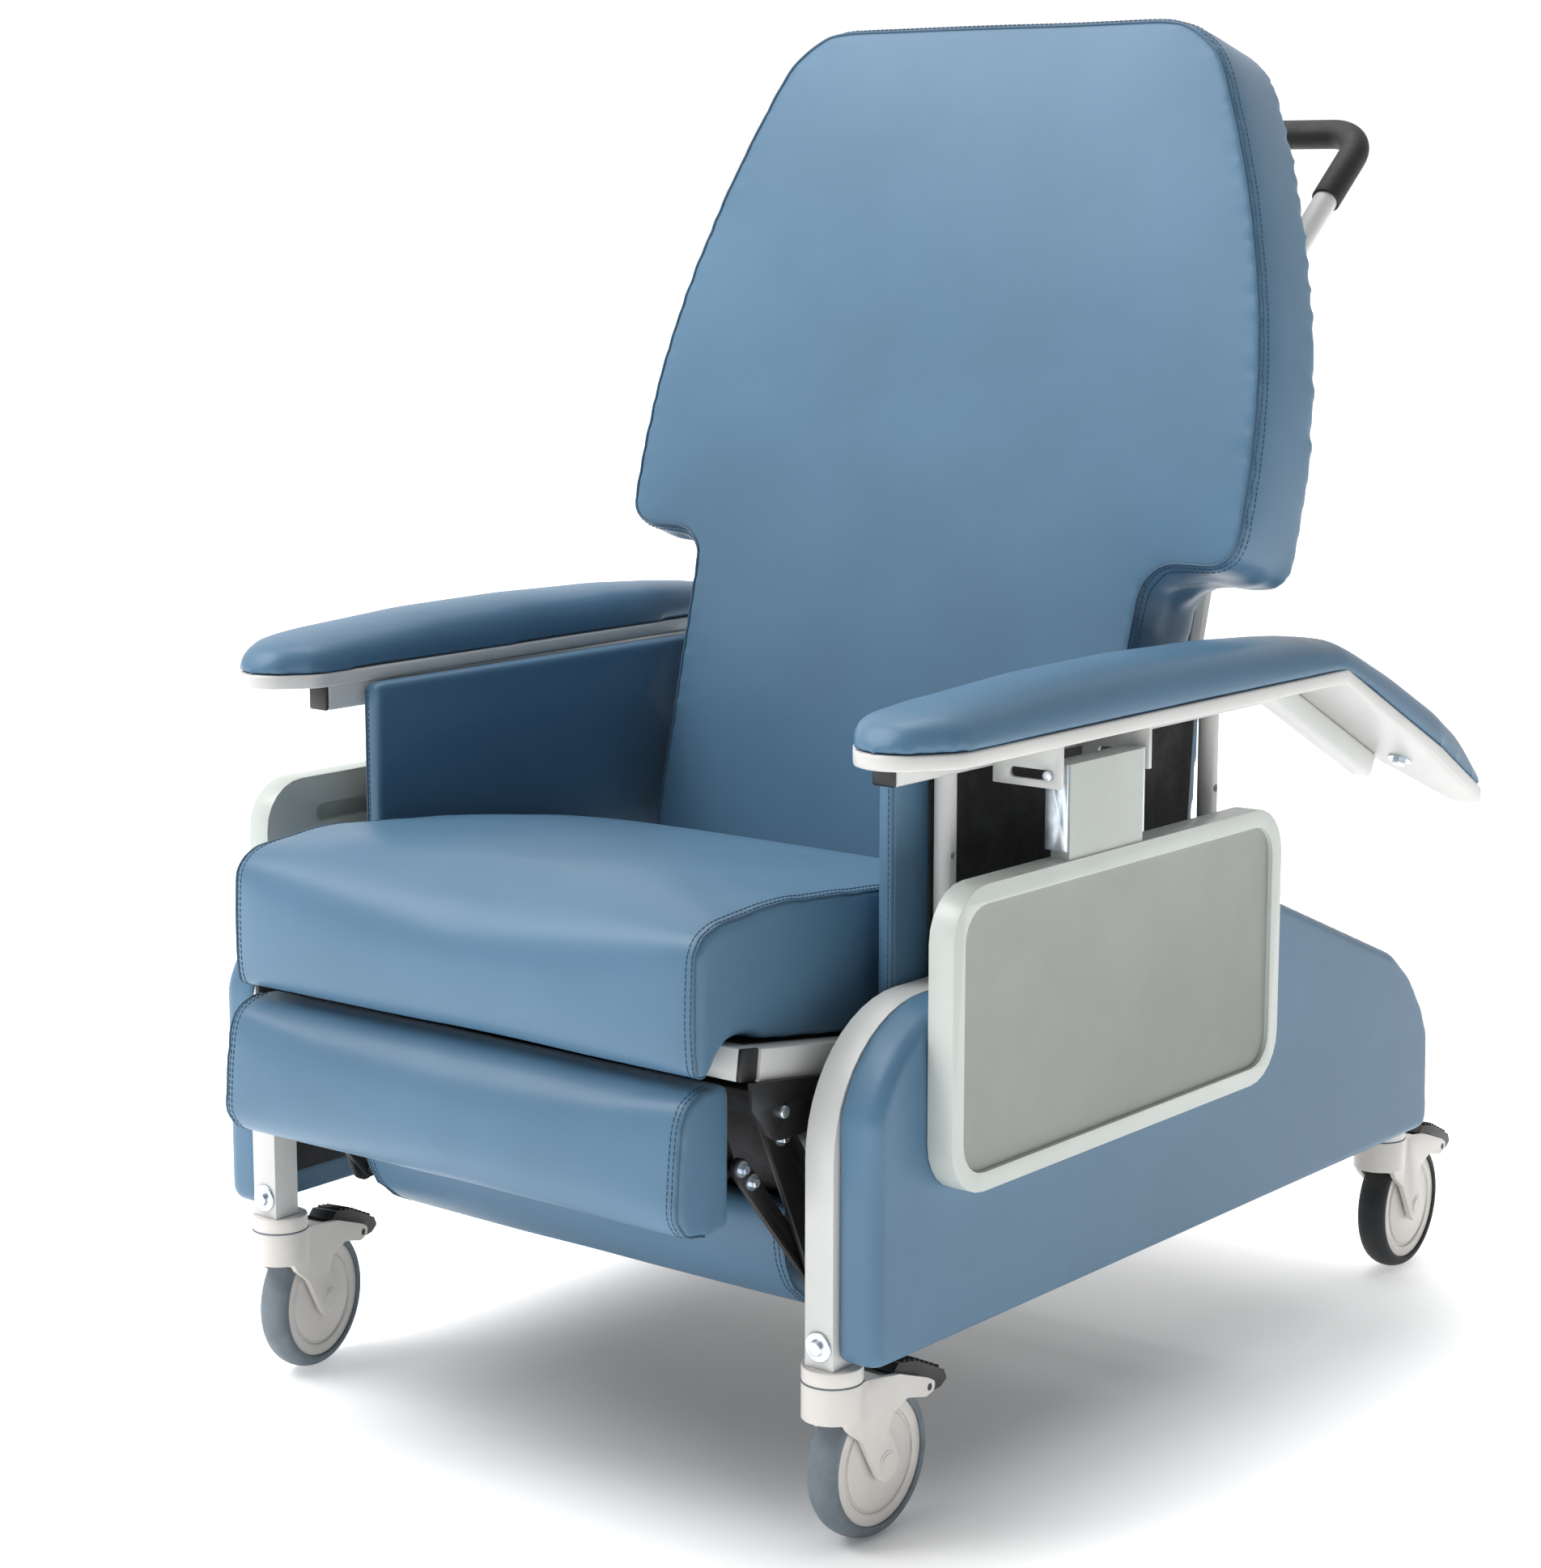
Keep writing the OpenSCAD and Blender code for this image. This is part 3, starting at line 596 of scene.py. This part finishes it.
def back_coords(coords):
    """(x, depth, rise) in mm of points in the row frame."""
    y = coords[:, 1] / MM + LEG_TO_ORIGIN - BACK_FOOT[0]
    z = coords[:, 2] / MM - BACK_FOOT[1]
    depth = y * math.cos(BACK_LEAN) - z * math.sin(BACK_LEAN)
    rise = y * math.sin(BACK_LEAN) + z * math.cos(BACK_LEAN)
    return coords[:, 0] / MM, depth, rise


def front_outline(node):
    """Outline of the front face of a back node as (x, rise) points in mm, walked once round."""
    bm = bmesh.new()
    bm.from_mesh(frame["nodes"][node].data)
    bmesh.ops.remove_doubles(bm, verts=bm.verts, dist=JOIN_DISTANCE)
    bm.verts.index_update()
    x, depth, rise = back_coords(np.array([v.co for v in bm.verts]))
    ring = {}
    for edge in bm.edges:
        a, b = (v.index for v in edge.verts)
        flat = [max(depth[v.index] for v in face.verts) < 0.5 for face in edge.link_faces]
        if any(flat) and not all(flat):
            ring.setdefault(a, []).append(b)
            ring.setdefault(b, []).append(a)
    bm.free()
    start = next(iter(ring))
    path = [start, ring[start][0]]
    while path[-1] != start:
        path.append(next(n for n in ring[path[-1]] if n != path[-2]))
    return [(float(x[i]), float(rise[i])) for i in path[:-1]]


def gap_to(outline, u, v):
    """Distance of each (u, v) in mm to the nearest point of a closed outline."""
    gap = np.full(len(u), 1e9)
    for pu, pv in resample(outline, 5, closed=True):
        gap = np.minimum(gap, np.hypot(u - pu, v - pv))
    return gap


def back_cushion():
    """Winged cushion: sewn round its front face, swollen boxing, creases under the wings."""
    pad = remesh(cad_copy("back_cushion", "back_cushion_pad", VINYL), 6.5)
    outline = front_outline("back_cushion")

    def held(c):
        x, depth, rise = back_coords(c)
        edge = 1 - np.clip((gap_to(outline, x, rise) - 3) / 10, 0, 1)
        sewn = edge * (1 - np.clip((depth - BACK_BOXING[0]) / 10, 0, 1))
        return np.maximum(sewn, np.clip((depth - BACK_BOXING[1]) / 10, 0, 1))

    relax(pad, 4, held)
    inflate(pad, 13, held)
    relax(pad, 45, held)

    def notch(c):
        x, depth, rise = back_coords(c)
        beside = np.clip((np.abs(x) - NOTCH_X) / 20, 0, 1)
        level = np.clip(1 - np.abs(rise - NOTCH_RISE) / 45, 0, 1)
        return level * beside * np.clip((depth - 12) / 20, 0, 1)

    ripple(pad, 1.2, 7.0)
    ripple(pad, 6.0, 42.0, notch)
    subdivide(pad)
    settle(pad, "back", "vinyl", "back_cushion")
    edge = [on_back(x, 1, rise) for x, rise in outline]
    seam("back_cushion_seam", pad, [edge], "back", closed=True, radius=1.3)
    rows = [[on_back(x, depth, rise) for x, rise in outline] for depth in (6, 11)]
    stitching("back_cushion_stitching", pad, rows, "back", closed=True)


# ---------- legrest pads ----------

CALF_PROFILE = ((-52, 371), (-66, 369), (-82, 362), (-90, 345), (-95, 292), (-95, 274),
                (-84, 260), (-62, 256))
LOWER_PROFILE = ((80, 252), (52, 250), (48, 228), (52, 203), (62, 182), (84, 164), (110, 153))


def legrest_pad(node, body, cap, profile):
    """Pad swollen by up to "cap" mm, held at its sewn ends and along its board."""
    low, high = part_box(node)
    pad = remesh(cad_copy(node, node + "_soft", VINYL), 4.0)
    relax(pad, 4)

    def held(c):
        ends = edge_hold(c, low.x, high.x, 7)
        return np.maximum(ends, np.clip((c[:, 1] - (high.y - 0.008)) / 0.006, 0, 1))

    inflate(pad, cap, held)
    relax(pad, 30, held)
    ripple(pad, 0.7, 10.0)
    subdivide(pad)
    settle(pad, body, "vinyl", node)
    sew_ends(node, pad, body, (high.x - low.x) / 2 / MM, profile, (6, 10))


# ---------- armrests ----------

ARM_Z = 620
ARM_KINK = 643
ARM_DROOP = math.radians(27)
ARM_STATIONS = 96
ARM_AROUND = 22
ARM_UNDER = 8
PAD_LIFT = 0.6  # gap between the armrest base and its pad
ARM_RISE = ((22, 4), (34, 20), (60, 27), (104, 32), (220, 39), (344, 41), (479, 38), (560, 33),
            (625, 28), (680, 31), (743, 36), (828, 38), (890, 33), (920, 24), (940, 8))


def arm_rise(y):
    """Thickness of the armrest pad at a distance along the arm, in mm."""
    return float(np.interp(y, [a for a, _ in ARM_RISE], [b for _, b in ARM_RISE]))


def arm_edges():
    """(y, inner x, outer x) stations of the armrest plan, measured on its CAD base."""
    coords = coords_of(frame["nodes"]["arm_base_left"])
    plan = [(c[1] / MM + LEG_TO_ORIGIN, c[0] / MM) for c in coords]
    front, rear = min(plan)[0], max(plan)[0]
    hull = plan_hull(plan)
    inset = 0.4
    stations = []
    for k in range(ARM_STATIONS + 1):
        even = k / ARM_STATIONS
        crowded = 0.5 - 0.5 * math.cos(math.pi * even)
        y = front + inset + (rear - front - 2 * inset) * (0.35 * even + 0.65 * crowded)
        stations.append((y, *cross_hull(hull, y)))
    return stations


def plan_hull(points):
    """Convex hull of (y, x) points."""
    points = sorted(set((round(a, 3), round(b, 3)) for a, b in points))

    def half(sequence):
        chain = []
        for p in sequence:
            while len(chain) > 1:
                (ay, ax), (by, bx) = chain[-2], chain[-1]
                if (by - ay) * (p[1] - ax) - (bx - ax) * (p[0] - ay) > 0:
                    break
                chain.pop()
            chain.append(p)
        return chain[:-1]

    return half(points) + half(reversed(points))


def cross_hull(hull, y):
    """Lowest and highest x where a line of constant y crosses the hull."""
    crossings = []
    for (ay, ax), (by, bx) in zip(hull, hull[1:] + hull[:1]):
        if (ay - y) * (by - y) <= 0 and ay != by:
            crossings.append(ax + (bx - ax) * (y - ay) / (by - ay))
    return min(crossings), max(crossings)


def arm_floor(y):
    """Height of the top of the armrest base at a distance along the arm, in mm."""
    drop = max(0.0, y - ARM_KINK) * math.tan(ARM_DROOP)
    blend = math.exp(-((y - ARM_KINK) / 22) ** 2) * 3
    return ARM_Z - drop - blend


def arm_pad_mesh(name):
    """Crowned pad lofted across the armrest plan."""
    bm = bmesh.new()
    rings = []
    for y, inner, outer in arm_edges():
        floor = arm_floor(y) + PAD_LIFT
        middle, half = (inner + outer) / 2, (outer - inner) / 2
        height = (arm_rise(y) - PAD_LIFT) * min(1.0, half / 30)
        ring = []
        for k in range(ARM_AROUND + 1):
            a = math.pi * k / ARM_AROUND
            across = -math.copysign(abs(math.cos(a)) ** 0.72, math.cos(a)) * 0.995
            z = floor + height * math.sin(a) ** 0.78
            ring.append(bm.verts.new(at(middle + half * across, y, z)))
        for k in range(1, ARM_UNDER):
            x = outer - (outer - inner) * k / ARM_UNDER
            ring.append(bm.verts.new(at(x, y, floor)))
        rings.append(ring)
    count = len(rings[0])
    for a, b in zip(rings, rings[1:]):
        for k in range(count):
            bm.faces.new((a[k], b[k], b[(k + 1) % count], a[(k + 1) % count]))
    bm.faces.new(rings[0])
    bm.faces.new(list(reversed(rings[-1])))
    bmesh.ops.recalc_face_normals(bm, faces=bm.faces)
    return from_bmesh(name, bm, VINYL)


def arm_pads():
    pad = remesh(arm_pad_mesh("arm_pad_soft_left"), 4.5)
    relax(pad, 3)

    def held(c):
        floor = np.array([arm_floor(v) for v in c[:, 1] / MM + LEG_TO_ORIGIN])
        return 1 - np.clip((c[:, 2] / MM - floor - 5) / 10, 0, 1)

    inflate(pad, 5, held)
    relax(pad, 3)
    ripple(pad, 0.8, 10.0)
    other = mirrored(pad, "arm_pad_soft_right")
    for side, obj in (("left", pad), ("right", other)):
        settle(obj, f"arm_{side}", "vinyl", f"arm_pad_{side}")


# ---------- side panels and arm panels ----------


def crown(obj, plan, height, reach, low, rear):
    """Pushes a face of a panel out by up to "height" mm along x, in front of "rear" and above "low".

    The push fades towards the edge of that part of the (y, z) plan, over about "reach" mm.
    """
    outline = plan_hull([(min(y, rear), max(z, low)) for y, z in plan])
    coords = coords_of(obj)
    normals = np.zeros(len(coords) * 3)
    obj.data.vertices.foreach_get("normal", normals)
    facing = np.clip(normals.reshape(-1, 3)[:, 0] * math.copysign(1, height), 0, 1)
    y, z = coords[:, 1] / MM + LEG_TO_ORIGIN, coords[:, 2] / MM
    swell = 1 - np.exp(-(gap_to(outline, y, z) / reach) ** 2)
    coords[:, 0] += facing * height * MM * swell * (y < rear) * (z > low)
    set_coords(obj, coords)


def soft_panel(prefix, body_of, voxel, height, low=0, rear=1000):
    """Padded panels on a board: rounded edges and a face crowned by "height" mm along x."""
    node = f"{prefix}_left"
    pad = remesh(cad_copy(node, f"{prefix}_soft_left", VINYL), voxel)
    relax(pad, 5)
    plan = [(c[1] / MM + LEG_TO_ORIGIN, c[2] / MM) for c in coords_of(frame["nodes"][node])]
    crown(pad, plan, height, 38, low, rear)
    subdivide(pad)
    other = mirrored(pad, f"{prefix}_soft_right")
    for side, obj in (("left", pad), ("right", other)):
        settle(obj, body_of(side), "vinyl", f"{prefix}_{side}")
    return {"left": pad, "right": other}


PANEL_X = 287
PANEL_FRONT = ((113, 414), (113, 602))
PANEL_SHADE_BOARD = ((158, 412), (158, 604), (546, 604), (530, 412))
SHADE_BOARD_THICKNESS = 2.2


def panel_trim(pads):
    """Seam and stitches down the front of each arm panel, and a black board closing its outer face: painted shade,
    a dark sheet where shadow falls on that face.
    """
    for side, sign in SIDES.items():
        body = f"arm_{side}"
        edge, row = [
            [at(sign * (PANEL_X - inset), y, z) for y, z in PANEL_FRONT] for inset in (1, 5)
        ]
        seam(f"arm_panel_seam_{side}", pads[side], [edge], body)
        stitching(f"arm_panel_stitching_{side}", pads[side], [row], body)
        # black board over the panel's outer face: painted shade standing in for the shadow there
        bm = bmesh.new()
        for x in (PANEL_X, PANEL_X + SHADE_BOARD_THICKNESS):
            for y, z in PANEL_SHADE_BOARD:
                bm.verts.new(at(sign * x, y, z))
        bmesh.ops.convex_hull(bm, input=bm.verts)
        board = from_bmesh(f"arm_panel_board_{side}", bm, BOARD, smooth=False)
        rounder = board.modifiers.new("rounder", "BEVEL")
        rounder.width = 0.8 * MM
        settle(baked(board), body, "plywood")


# ---------- castors ----------

AXLE = (43, 62.5)
CAP_OUT, CAP_HEIGHT, CAP_RADIUS = 21.6, 1.2, 7.5
COLLAR_RADIUS, COLLAR_Z = 23.9, 137.2
RIB_COUNT, RIB_PITCH, RIB_HALF, RIB_RADIUS = 8, 6.2, 12, 1.7
RIB_START = (74, 134)
PEDAL_BEND = 88


def castor_axes(row, side):
    """Origin, forward and sideways directions of a castor at rest, from its joints."""
    joints = {j["name"]: j for j in frame["joints"]}
    pivot = Vector(joints[f"swivel_{row}_{side}"]["pos_m"])
    across = Vector(joints[f"roll_{row}_{side}"]["axis"])
    back = Vector((0, 0, 1)).cross(across)
    return Vector((pivot.x, pivot.y, 0)), back, across


def castor_point(axes, x, y, z):
    """A point given in mm from the castor's pivot: sideways, backward and above the floor."""
    origin, back, across = axes
    return origin + across * (x * MM) + back * (y * MM) + Vector((0, 0, z * MM))


def pedal_ribs(row, side, axes):
    """Grip ribs across the top of a brake pedal, following its bend."""
    bm = bmesh.new()
    for k in range(RIB_COUNT):
        y = RIB_START[0] + k * RIB_PITCH
        z = RIB_START[1] - (y - RIB_START[0]) * 0.18 - max(0, y - PEDAL_BEND) * 0.29
        ends = [castor_point(axes, x, y, z) for x in (-RIB_HALF, 0, RIB_HALF)]
        tube_mesh(bm, ends, RIB_RADIUS * MM, False)
    ribs = from_bmesh(f"pedal_ribs_{row}_{side}", bm, BLACK)
    settle(ribs, f"brake_{row}_{side}", "black_plastic")


def axle_caps(row, side, axes):
    """Round covers over both ends of a wheel's axle."""
    bm = bmesh.new()
    for sign in SIDES.values():
        ends = [castor_point(axes, sign * x, *AXLE) for x in (CAP_OUT - CAP_HEIGHT, CAP_OUT)]
        tube_mesh(bm, ends, CAP_RADIUS * MM, False, 28)
    caps = from_bmesh(f"axle_caps_{row}_{side}", bm, CREAM)
    smooth_by_angle(caps)
    settle(caps, f"castor_{row}_{side}", "cream_plastic")


def collar_line(row, side, axes):
    """Dark line round the fixed upper half of a castor."""
    ring = []
    for k in range(48):
        a = 2 * math.pi * k / 48
        x, y = COLLAR_RADIUS * math.cos(a), COLLAR_RADIUS * math.sin(a)
        ring.append(castor_point(axes, x, y, COLLAR_Z))
    bm = bmesh.new()
    tube_mesh(bm, ring, 0.7 * MM, True, 6)
    line = from_bmesh(f"collar_line_{row}_{side}", bm, GREY_TYRE)
    settle(line, "base", "grey_rubber")


# ---------- bolts ----------

WASHER_THICKNESS = 1.6


def hex_head(bm, centre, direction, across_flats, height):
    """Adds a bolt head with six sides and a chamfered top to a bmesh."""
    direction = direction.normalized()
    side = direction.orthogonal().normalized()
    other = direction.cross(side)
    radius = across_flats / math.sqrt(3) * MM
    rings = []
    for lift, scale in ((0, 1.0), (height * 0.75, 1.0), (height, 0.86)):
        ring = []
        for k in range(6):
            a = math.pi * k / 3
            offset = (side * math.cos(a) + other * math.sin(a)) * radius * scale
            ring.append(bm.verts.new(centre + direction * lift * MM + offset))
        rings.append(ring)
    for a, b in zip(rings, rings[1:]):
        for k in range(6):
            bm.faces.new((a[k], a[(k + 1) % 6], b[(k + 1) % 6], b[k]))
    bm.faces.new(rings[-1])
    bm.faces.new(list(reversed(rings[0])))


def bolts(name, body, spots):
    """Bolt heads on washers at (point, direction, washer radius) spots."""
    bm = bmesh.new()
    for centre, direction, radius in spots:
        top = centre + direction.normalized() * WASHER_THICKNESS * MM
        tube_mesh(bm, [centre, top], radius * MM, False, 32)
        hex_head(bm, top, direction, radius * 1.05, 4.5)
    obj = from_bmesh(name, bm, ZINC)
    smooth_by_angle(obj, 30)
    return settle(obj, body, "zinc")


def arm_bolts():
    """A bolt head under the drooping rear end of each arm."""
    y = 825
    z = arm_floor(y) - 13.5
    down = Vector((0, -math.sin(ARM_DROOP), -math.cos(ARM_DROOP)))
    for side, sign in SIDES.items():
        bolts(f"arm_rear_bolt_{side}", f"arm_{side}", [(at(sign * 338, y, z), down, 11)])


def link_bolts():
    """Bolt heads on the outer faces of the legrest links."""
    for name, body, x, points in (
        ("rear_link_bolts", "lower_legrest", 256, [(15, 319), (70, 190)]),
        ("front_link_bolts", "leg_links", 249, [(-24, 302), (-12, 289)]),
    ):
        spots = [
            (at(sign * x, *point), Vector((sign, 0, 0)), 6.5)
            for sign in SIDES.values()
            for point in points
        ]
        bolts(name, body, spots)


# ---------- studio ----------


def area_light(name, place, target, size, watts, colour=(1, 1, 1)):
    data = bpy.data.lights.new(name, "AREA")
    data.shape = "RECTANGLE"
    data.size, data.size_y = size
    data.energy = watts
    data.color = colour
    light = bpy.data.objects.new(name, data)
    bpy.context.scene.collection.objects.link(light)
    light.location = place
    light.rotation_euler = (Vector(target) - Vector(place)).to_track_quat("-Z", "Y").to_euler()
    return light


def studio():
    """Floor, a world that is lighter from behind the left shoulder, and three area lights."""
    bm = bmesh.new()
    bmesh.ops.create_grid(bm, x_segments=8, y_segments=8, size=60)
    floor = from_bmesh("floor_with_painted_shadow", bm, painted_shadow_floor_material())
    bpy.context.scene.view_settings.view_transform = "Standard"
    world = bpy.data.worlds.new("studio_world")
    bpy.context.scene.world = world
    world.use_nodes = True
    tree = world.node_tree
    coords = tree.nodes.new("ShaderNodeTexCoord")
    facing = tree.nodes.new("ShaderNodeVectorMath")
    facing.operation = "DOT_PRODUCT"
    facing.inputs[1].default_value = (-0.85, 0.45, 0.25)
    levels = tree.nodes.new("ShaderNodeMapRange")
    levels.interpolation_type = "SMOOTHSTEP"
    levels.inputs["From Min"].default_value = -0.6
    levels.inputs["From Max"].default_value = 0.7
    levels.inputs["To Min"].default_value = 0.05
    levels.inputs["To Max"].default_value = 1.1
    tree.links.new(coords.outputs["Generated"], facing.inputs[0])
    tree.links.new(facing.outputs["Value"], levels.inputs["Value"])
    tree.links.new(levels.outputs["Result"], tree.nodes["Background"].inputs["Strength"])
    tree.nodes["Background"].inputs["Color"].default_value = (1, 1, 1, 1)
    area_light("key", (-1.9, -2.1, 3.8), (0, 0, 0.5), (3.0, 2.4), 140)
    area_light("right", (2.6, -1.8, 1.6), (0.3, -0.2, 0.5), (0.6, 1.6), 4)
    area_light("top", (-0.4, 0.4, 3.4), (0, 0, 0.4), (1.6, 1.6), 30)


def camera():
    """Camera at the viewpoint solved from the photograph."""
    pitch, azimuth = 9.938, 38.793
    data = bpy.data.cameras.new("camera")
    data.sensor_width = 36
    data.lens = 76.49
    data.clip_end = 60
    made = bpy.data.objects.new("camera", data)
    bpy.context.scene.collection.objects.link(made)
    made.location = at(1780.6, -1894.4, 1019.4)
    made.rotation_euler = (math.radians(90 - pitch), 0, math.radians(azimuth))
    bpy.context.scene.camera = made


# ---------- build ----------

LOOKS = {
    "painted_steel": PAINT, "black_steel": BLACK_STEEL, "zinc": ZINC, "vinyl": VINYL,
    "plywood": BOARD, "tray_plastic": TRAY, "cream_plastic": CREAM, "black_plastic": BLACK,
    "foam_grip": FOAM, "grey_rubber": GREY_TYRE, "dark_rubber": TYRE_PAINTED_SHADE,
}
slot_of = {s["node"]: s["material_slot"] for s in frame["record"]["subparts"]}
body_of = {n: b for b, ns in frame["record"]["behaviour"]["bodies"].items() for n in ns}
BEVELS = {
    "side_frame": (4.0, 3), "arm_rail": (2.5, 2), "arm_cap": (2.0, 2), "arm_base": (2.0, 2),
    "tray_bracket": (0.6, 2), "tray_brace": (0.5, 2), "tray": (3.2, 3), "arm_posts": (0.5, 2),
    "fork": (1.6, 3), "wheel": (1.0, 2), "pedal": (1.4, 2), "tyre": (0.4, 2),
}
PLAIN_BEVEL = (1.0, 2)
PLAIN_NODES = (
    "seat_frame", "seat_rail_caps", "cross_tubes", "castor_stems", "recline_brackets",
    "leg_mounts", "back_frame", "push_handle", "handle_grip", "rear_links",
    "front_links", "panel_boards", "back_board", "calf_board", "mid_board",
    "seat_deck", "frame_bolts", "post_sleeves",
)


def look_of(node):
    return BASE if node.startswith("arm_base") else LOOKS[slot_of[node]]


def kind_of(node):
    """The longest name in BEVELS that a node's name begins with, or None."""
    kinds = [kind for kind in BEVELS if node.startswith(kind + "_")]
    return max(kinds, key=len, default=None)


def hard_parts():
    """Every rigid node with its material, rounded edges and the painted shade on the tray faces."""
    for node, obj in frame["nodes"].items():
        obj.data.materials.clear()
        obj.data.materials.append(look_of(node))
    kinds = {node: kind_of(node) for node in sorted(frame["nodes"])}
    for node, kind in kinds.items():
        if kind is None:
            continue
        made = refine(node, body_of[node], slot_of[node], look_of(node), *BEVELS[kind])
        if kind == "tray":
            # painted shade: the sunk face of each tray gets the darker plastic copy
            paint_recess_shade(made, TRAY_FACE_PAINTED_SHADE)
    for node in PLAIN_NODES:
        refine(node, body_of[node], slot_of[node], look_of(node), *PLAIN_BEVEL)


camera()
studio()
hard_parts()
seat_cushion()
back_cushion()
legrest_pad("calf_pad", "calf_rest", 7, CALF_PROFILE)
legrest_pad("mid_pad", "lower_legrest", 6, LOWER_PROFILE)
arm_pads()
# the hanging trays are 2 mm clear of the side panels
soft_panel("side_panel", lambda side: "base", 4.5, 1.4)
# below and behind this the arm panels pass close to the hinge plates as the arms drop
panel_trim(soft_panel("arm_panel", lambda side: f"arm_{side}", 3.5, -3, low=512, rear=512))
for row in ROWS:
    for side in SIDES:
        axes = castor_axes(row, side)
        for detail in (pedal_ribs, axle_caps, collar_line):
            detail(row, side, axes)
arm_bolts()
link_bolts()
